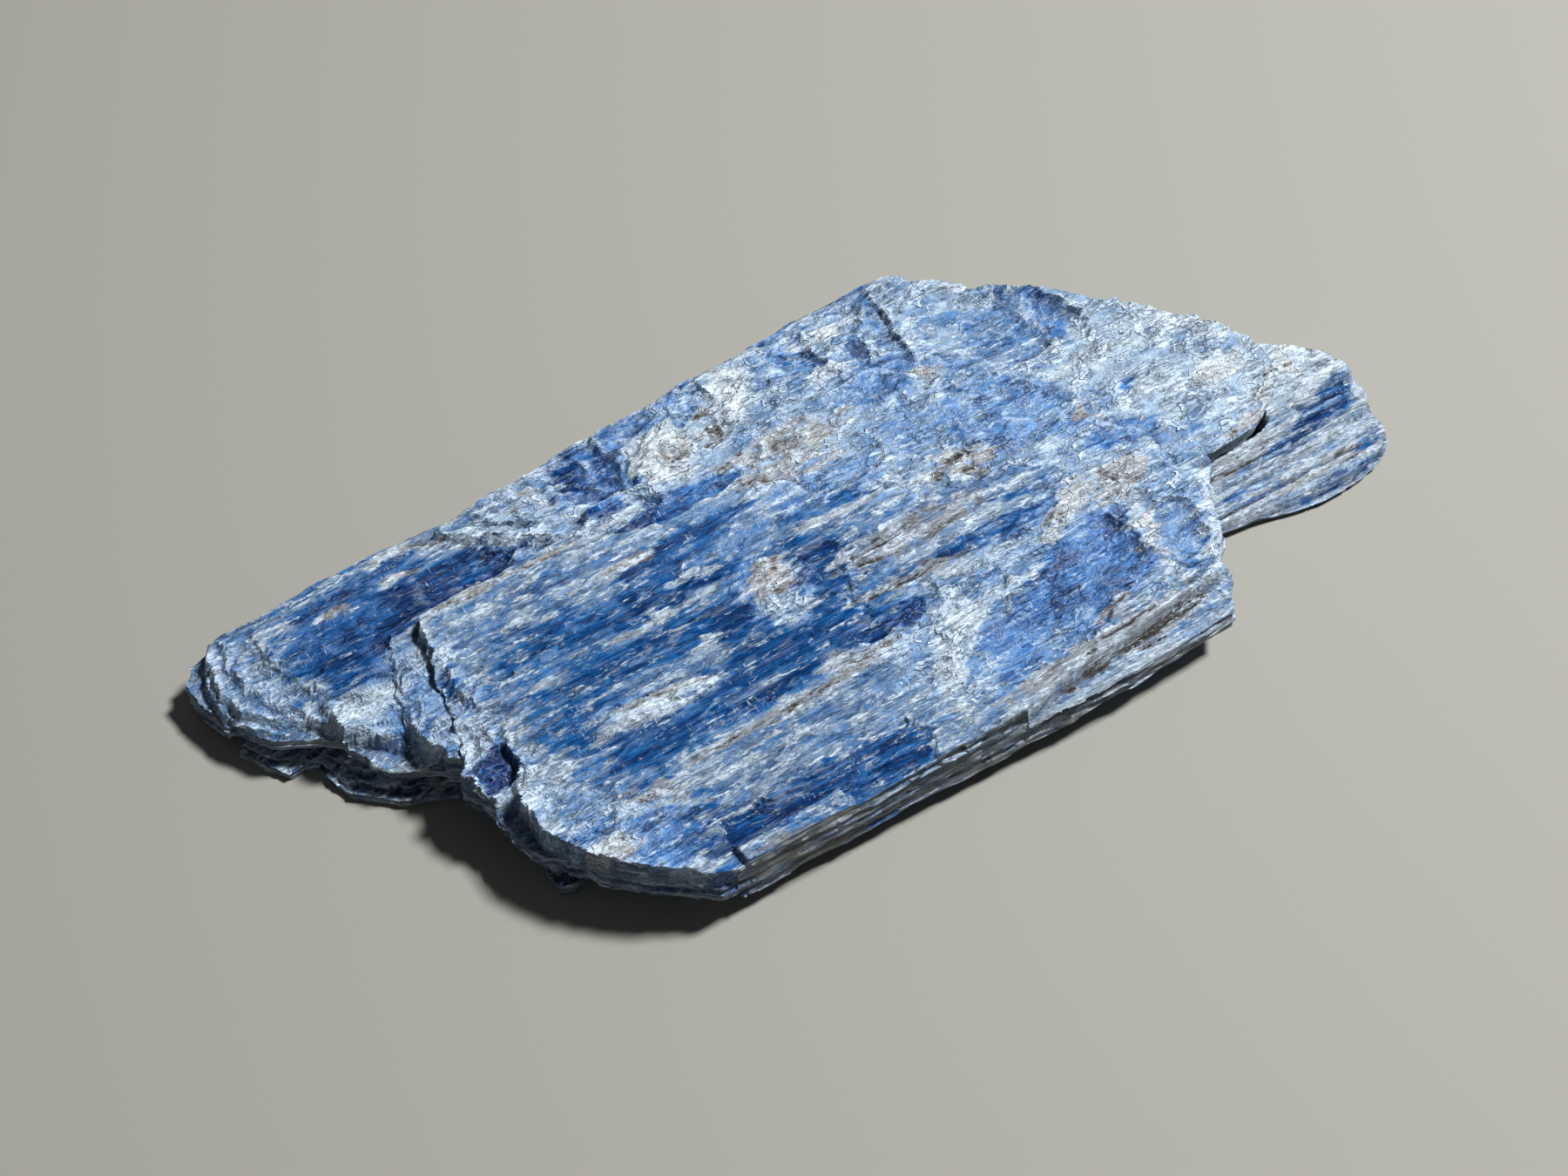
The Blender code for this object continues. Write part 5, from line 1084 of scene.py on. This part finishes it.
# %% Back blade: relief and mesh
def back_relief(x, y):
    """Height, tone, stain and how lined the back blade's top is. Past y = 12 the middle is broken across into
    leaning plates: the count of plates along X rises by one per plate, and its fraction is the slope of each.
    Past y = 17.3 the middle of the far edge is cut at a slant, the bevel, and is darker there."""
    z = stack(3.7 - 0.55 * ease(-36.5, -40.0, x), x, y, BACK_SHEETS, BACK_ROOFS, BACK_FLAKES, 700)
    broken = ease(10.8, 12.6, y + 0.8 * streaks(x, y, 2.0, 1.0, 41)) * ease(-17.0, -13.0, x) * ease(19.0, 15.0, x)
    count = x / 3.4 + 1.3 * smooth_noise(x / 3.6, y / 40, 43) + 0.3 * streaks(x, y, 2.0, 1.2, 46, 2)
    slope = ease(0.0, 0.85, count - np.floor(count)) * (1.2 + smooth_noise(np.floor(count), y / 4, 44))
    slope = slope * ease(0.1, 1.4, 17.7 + 0.075 * x - y) * ease(-0.9, 0.1, smooth_noise(x / 5, y / 9, 47))
    z = z - broken * (0.02 * (y - 11) + 0.3 * slope)
    beyond = y - 17.3 - 0.062 * x
    bevel = ease(-7.0, -5.0, x) * ease(17.0, 15.0, x)
    z = z - 0.4 * bevel * np.clip(beyond, 0, 1)
    tone = shaded_spots(x, y, 0.5, BACK_TONES, 0.8, 511)
    tone = add_patches(tone, x, y, BACK_PATCHES, 595, 0.85)
    # The broken plates are paler, but darker where each one dips lowest, beside the next plate's riser: painted shade
    # in the crease.
    tone = tone + broken * (0.12 - 0.14 * slope + 0.2 * streaks(x, y, 0.8, 2.4, 45, 2))
    tone = tone + (0.34 - tone) * bevel * ease(-0.1, 0.05, beyond + 0.1 * streaks(x, y, 3.0, 0.5, 48))
    return plate_finish(z, x, y, tone, BACK_STAINS, 551, BACK_BOWLS, 641)


def back_underside(x, y):
    """The wall's foot: 0.5 mm above the floor at the nose, 3.5 to 3.9 mm over the end blade, 2.7 mm elsewhere."""
    over_end = (0.8 * ease(27.6, 29.0, x) + 0.4 * ease(33.0, 35.5, x)) * ease(4.0, 1.5, y)
    return 2.7 - 2.2 * ease(-36.4, -38.2, x) * ease(9.5, 11.5, y) + over_end


def back_look(x, y, z, edge_tone):
    """The back plate's wall is pale at the right end."""
    tone, stain = wall_look(x, y, z, edge_tone)
    return tone + 0.3 * ease(26.0, 30.0, x), stain + 0.2 * ease(26.0, 30.0, x)


BACK_GRID = (300, 205)
back = crystal("back_crystal", BACK_BORDER, BACK_GRID, back_relief, back_underside, 21, look=back_look)
finish(back, "back_blade", squares(BACK_GRID))


# %% [markdown]
# ## The end blade
# The bundle of laths that runs out at the right from under the back blade. Its flank is one slanting face with
# grooves along it, its top corner is bleached, and a rough ledge lies along its foot.

# %% End blade
END_BORDER = (
    [(22.0, -9.8), (27.4, -10.5), (30.0, -10.8), (32.7, -11.3), (35.2, -11.7), (38.2, -11.8), (40.6, -11.3),
     (42.0, -10.4)],
    [(42.0, -10.4), (42.6, -9.4), (42.5, -7.4), (42.6, -5.2), (42.3, -4.0), (41.2, -2.5), (39.8, -1.0),
     (38.0, -0.1)],
    [(22.0, -2.0), (26.0, 0.8), (34.0, 0.8), (38.0, -0.1)],
    [(22.0, -9.8), (22.0, -2.0)],
)  # fmt: skip
END_SHEETS = [
    (1.5, (0.012, -0.06), [(20.0, -9.4), (27.4, -10.2), (32.7, -11.0), (38.2, -11.4), (41.5, -10.6), (42.4, -9.2),
     (43.4, -5.0), (40.0, 0.4), (20.0, 2.0)]),
    (2.65, (0.0, 0.42), [(25.0, -8.9), (30.4, -9.4), (36.0, -9.6), (41.8, -9.0), (42.3, -7.0), (42.4, -5.6),
     (38.6, -5.2), (36.9, -4.9), (35.2, -6.1), (33.6, -6.9), (25.0, -7.2)]),
    (3.25, (0.0, 0.3), [(26.5, -8.0), (33.6, -8.2), (37.0, -6.6), (36.6, -4.6), (33.5, -5.9), (28.0, -6.3),
     (26.5, -7.0)]),
    (3.3, (0.0, 0.3), [(34.6, -7.0), (39.0, -7.4), (42.2, -6.9), (42.4, -5.4), (42.2, -4.1), (38.2, -3.4),
     (37.4, -4.8), (35.8, -5.8)]),
    (4.25, (-0.01, 0.05), [(34.2, -5.5), (36.6, -5.2), (39.0, -5.3), (42.2, -5.5), (42.1, -4.2), (41.0, -2.8),
     (39.6, -1.4), (37.6, 0.2), (35.4, 0.4), (35.2, -3.6)]),
]  # fmt: skip
END_TONES = [
    (32.0, -8.4, 8.0, 0.9, -2, 0.82), (39.5, -3.0, 3.0, 2.4, 0, 0.88), (36.4, -6.6, 4.6, 0.5, 8, 0.8),
    (36.0, -7.2, 6.5, 0.22, 2, 0.34), (39.6, -6.3, 2.6, 0.6, 0, 0.16), (41.0, -5.6, 1.2, 0.6, 0, 0.3),
    (34.0, -7.9, 5.0, 0.3, 2, 0.68), (37.0, -8.4, 4.0, 0.16, 2, 0.9), (42.2, -7.6, 0.7, 2.2, 0, 0.85),
    (34.0, -11.0, 6.5, 0.8, -3, 0.76), (36.5, -11.2, 2.4, 0.4, 0, 0.3), (31.6, -11.0, 0.3, 0.25, 0, 1.0),
    (40.6, -9.8, 1.6, 0.5, 15, 0.35), (39.0, -10.6, 1.4, 0.3, 10, 0.9), (30.0, -9.2, 3.2, 0.3, -3, 0.5),
]  # fmt: skip
END_STAINS = [
    (34.0, -9.9, 8.5, 0.25, -1, 0.9), (31.0, -6.9, 3.6, 0.5, 4, 0.9), (40.0, -1.4, 2.0, 0.5, -40, 0.5),
    (36.0, -9.4, 6.0, 0.12, 1, 0.7), (39.0, -11.2, 2.4, 0.4, 0, 0.4), (38.3, -3.0, 0.6, 2.0, 0, 0.6),
]  # fmt: skip
# Each groove: start, end, width, depth.
END_GROOVES = [
    ((25.0, -9.6), (42.6, -9.6), 0.5, 0.7), ((30.0, -8.6), (41.4, -8.1), 0.25, 0.25),
    ((29.0, -7.4), (39.6, -7.1), 0.3, 0.4), ((33.0, -11.0), (39.0, -10.9), 0.3, 0.35),
    ((26.0, -8.1), (37.0, -7.7), 0.3, 0.35), ((27.0, -10.3), (40.0, -10.3), 0.3, 0.4),
    ((36.0, -5.4), (42.4, -6.3), 0.3, 0.4),
]  # fmt: skip


def groove(z, x, y, start, end, width, depth):
    """A cut along a straight line: the surface sinks by `depth` at the line and less to each side, over `width`."""
    along, aside, length = along_line(x, y, start, end)
    aside = aside + 0.12 * streaks(x, y, 2.0, 1.0, 83)
    inside = ease(0, 1.0, along) * ease(length, length - 1.0, along)
    return z - depth * inside * ease(width / 2, 0, np.abs(aside))


def end_relief(x, y):
    """Height, tone, stain and how lined the end blade's top is. Where the back plate lies over it, its height is
    held below a ceiling, which rises again past the plate's outline."""
    z = np.full(x.shape, 0.9)
    for k, (level, dip, outline) in enumerate(END_SHEETS):
        z = add_sheet(z, x, y, outline, level, dip, 1100 + 11 * k, fray=0.2)
    under_plate = [(20.0, -6.6), (28.2, -6.4), *BACK_BORDER[1][1:7], (30.0, 3.0), (20.0, 3.0)]
    ceiling = 2.2 + (1.15 * ease(28.2, 29.4, x) + 0.4 * ease(33.4, 35.9, x)) * ease(1.2, -0.5, y)
    z = np.minimum(z, ceiling + 6.0 * np.maximum(0.35 - depth_inside(x, y, under_plate), 0))  # 6 up for 1 out
    tone = shaded_spots(x, y, 0.78, END_TONES, 0.6, 521)
    stain = shaded_spots(x, y, 0.05, END_STAINS, 0.6, 561)
    striped = 0.22 * streaks(x, y, 16.0, 0.35, 93, 2)
    tone = tone + (1.6 * striped + 0.3 * streaks(x, y, 12.0, 0.22, 94, 2)) * ease(-4.6, -5.4, y)
    z = cleave(z + striped, x, y, 0.5 * ease(0.2, 0.8, tone) * ease(-3.4, -5.2, y), 661)
    for cut in END_GROOVES:
        z = groove(z, x, y, *cut)
    return np.maximum(z, 0.5), tone, stain, 0.3 + 0.7 * ease(-3.4, -5.2, y)


def on_floor(x, y):
    """The foot of a wall that stands on the floor."""
    return np.zeros(x.shape)


END_GRID = (170, 110)
end = crystal("end_crystal", END_BORDER, END_GRID, end_relief, on_floor, 41, fray=0.15, reach=0.7, lean=-0.35)
finish(end, "end_blade", squares(END_GRID))

# %% [markdown]
# ## The lower blade and the under tip
# Two small crystals lie on the floor under the left ends of the two plates. Only their crumpled edges show in
# the dark gap below.

# %% Lower blade and under tip
LOWER_BORDER = (
    [(-39.2, 9.3), (-38.3, 7.9), (-37.3, 6.3), (-36.2, 6.5), (-35.4, 6.2), (-35.1, 4.7), (-34.7, 3.3), (-34.0, 2.5),
     (-32.8, 1.6), (-31.5, 0.4), (-30.3, 0.1), (-29.4, -0.4), (-28.3, -0.9)],
    [(-28.3, -0.9), (-26.8, 1.4), (-26.4, 7.0), (-27.4, 11.6)],
    [(-38.8, 10.2), (-37.0, 10.2), (-34.4, 11.2), (-27.4, 11.6)],
    [(-39.2, 9.3), (-38.8, 10.2)],
)  # fmt: skip
LOWER_SHEETS = [
    (1.35, (0.0, 0.0), [(-38.7, 9.9), (-38.2, 8.6), (-37.2, 7.1), (-35.4, 7.0), (-34.8, 5.2), (-34.2, 3.8),
     (-33.0, 2.7), (-31.4, 1.3), (-29.8, 0.9), (-28.0, -0.4), (-27.0, 8.0), (-34.0, 12.0)]),
    (1.6, (0.01, 0.0), [(-38.2, 9.8), (-36.8, 8.0), (-35.0, 7.6), (-34.2, 5.6), (-33.4, 4.2), (-31.6, 2.6),
     (-29.6, 2.0), (-28.4, 3.4), (-28.6, 8.0), (-34.0, 10.6)]),
]  # fmt: skip
TIP_BORDER = (
    [(-26.1, -9.4), (-25.9, -10.5), (-24.8, -10.9), (-23.4, -10.2), (-19.8, -9.0)],
    [(-19.8, -9.0), (-18.6, -6.0), (-20.2, -4.2)],
    [(-25.6, -6.4), (-24.3, -5.2), (-20.2, -4.2)],
    [(-26.1, -9.4), (-25.9, -8.0), (-25.6, -6.4)],
)  # fmt: skip
TIP_SHEETS = [
    (2.1, (0.02, -0.03), [(-25.5, -7.6), (-25.6, -9.2), (-24.7, -10.2), (-21.0, -8.8), (-20.2, -6.0), (-24.0, -6.0)]),
]  # fmt: skip


def small_relief(sheets, base, seed):
    """The relief of a small dark crystal: its sheets over a base height, finely split."""
    def relief(x, y):
        """Height, tone, stain and how lined the top is."""
        z = np.full(x.shape, base)
        for k, (level, dip, outline) in enumerate(sheets):
            z = add_sheet(z, x, y, outline, level, dip, seed + 11 * k)
        tone = 0.66 + 0.8 * streaks(x, y, 2.6, 0.9, seed + 50, 3)
        return cleave(z, x, y, 0.7 + 0 * x, seed + 60), tone, 0.2 + 0.5 * streaks(x, y, 3.0, 1.5, seed + 55), 1.0

    return relief


LOWER_GRID, TIP_GRID = (150, 60), (60, 45)
lower = crystal("lower_crystal", LOWER_BORDER, LOWER_GRID, small_relief(LOWER_SHEETS, 1.1, 1200), on_floor, 51, 0.2,
                0.8, 0.05)
finish(lower, "lower_blade", 0)
tip = crystal("tip_crystal", TIP_BORDER, TIP_GRID, small_relief(TIP_SHEETS, 1.4, 1300), on_floor, 61, 0.15, 0.5)
finish(tip, "under_tip", 0)

# %% [markdown]
# ## The roots
# Both plates hang clear of the floor at their edges. What carries them is older crystal under their middles,
# broken off flat where the cluster came away from the rock.

# %% Roots under the plates
FRONT_ROOT = (
    [(-16.5, -10.0), (-8.0, -13.2), (8.0, -13.4), (17.0, -11.5)],
    [(17.0, -11.5), (20.0, -7.0), (14.0, -2.0)],
    [(-15.0, 5.5), (0.0, 5.0), (14.0, -2.0)],
    [(-16.5, -10.0), (-17.4, -4.0), (-15.0, 5.5)],
)
BACK_ROOT = (
    [(-12.0, 9.4), (-3.0, 9.0), (6.0, 8.0), (14.0, 2.6), (19.0, 2.0)],
    [(19.0, 2.0), (20.0, 9.0), (14.0, 15.5)],
    [(-8.0, 14.5), (14.0, 15.5)],
    [(-12.0, 9.4), (-8.0, 14.5)],
)
LEFT_ROOT = (
    [(-37.6, 12.4), (-34.0, 12.0), (-27.0, 12.4), (-20.0, 11.8), (-11.0, 12.4)],
    [(-11.0, 12.4), (-10.0, 15.2)],
    [(-36.9, 15.5), (-32.7, 15.7), (-25.2, 16.2), (-17.6, 15.9), (-10.0, 15.2)],
    [(-37.6, 12.4), (-38.1, 14.2), (-36.9, 15.5)],
)


def hidden_top(x, y):
    """A root's top, out of sight inside the plate it carries."""
    return np.full(x.shape, 3.4), np.full(x.shape, 0.4), np.full(x.shape, 0.3), 1.0


def above_floor(x, y):
    """The foot of the left root, which ends just above the floor."""
    return np.full(x.shape, 0.45)


ROOT_GRID = (70, 40)
for name, border, foot, node, seed in (
    ("front_root", FRONT_ROOT, on_floor, "front_blade", 71),
    ("back_root", BACK_ROOT, on_floor, "back_blade", 74),
    ("left_root", LEFT_ROOT, above_floor, "back_blade", 77),
):
    root = crystal(name, border, ROOT_GRID, hidden_top, foot, seed, 0.3, 1.2)
    finish(root, node, squares(ROOT_GRID))


# %% Sizes and the end
box = [[round(c, 5) for c in corner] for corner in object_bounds()]
print("box:", box)
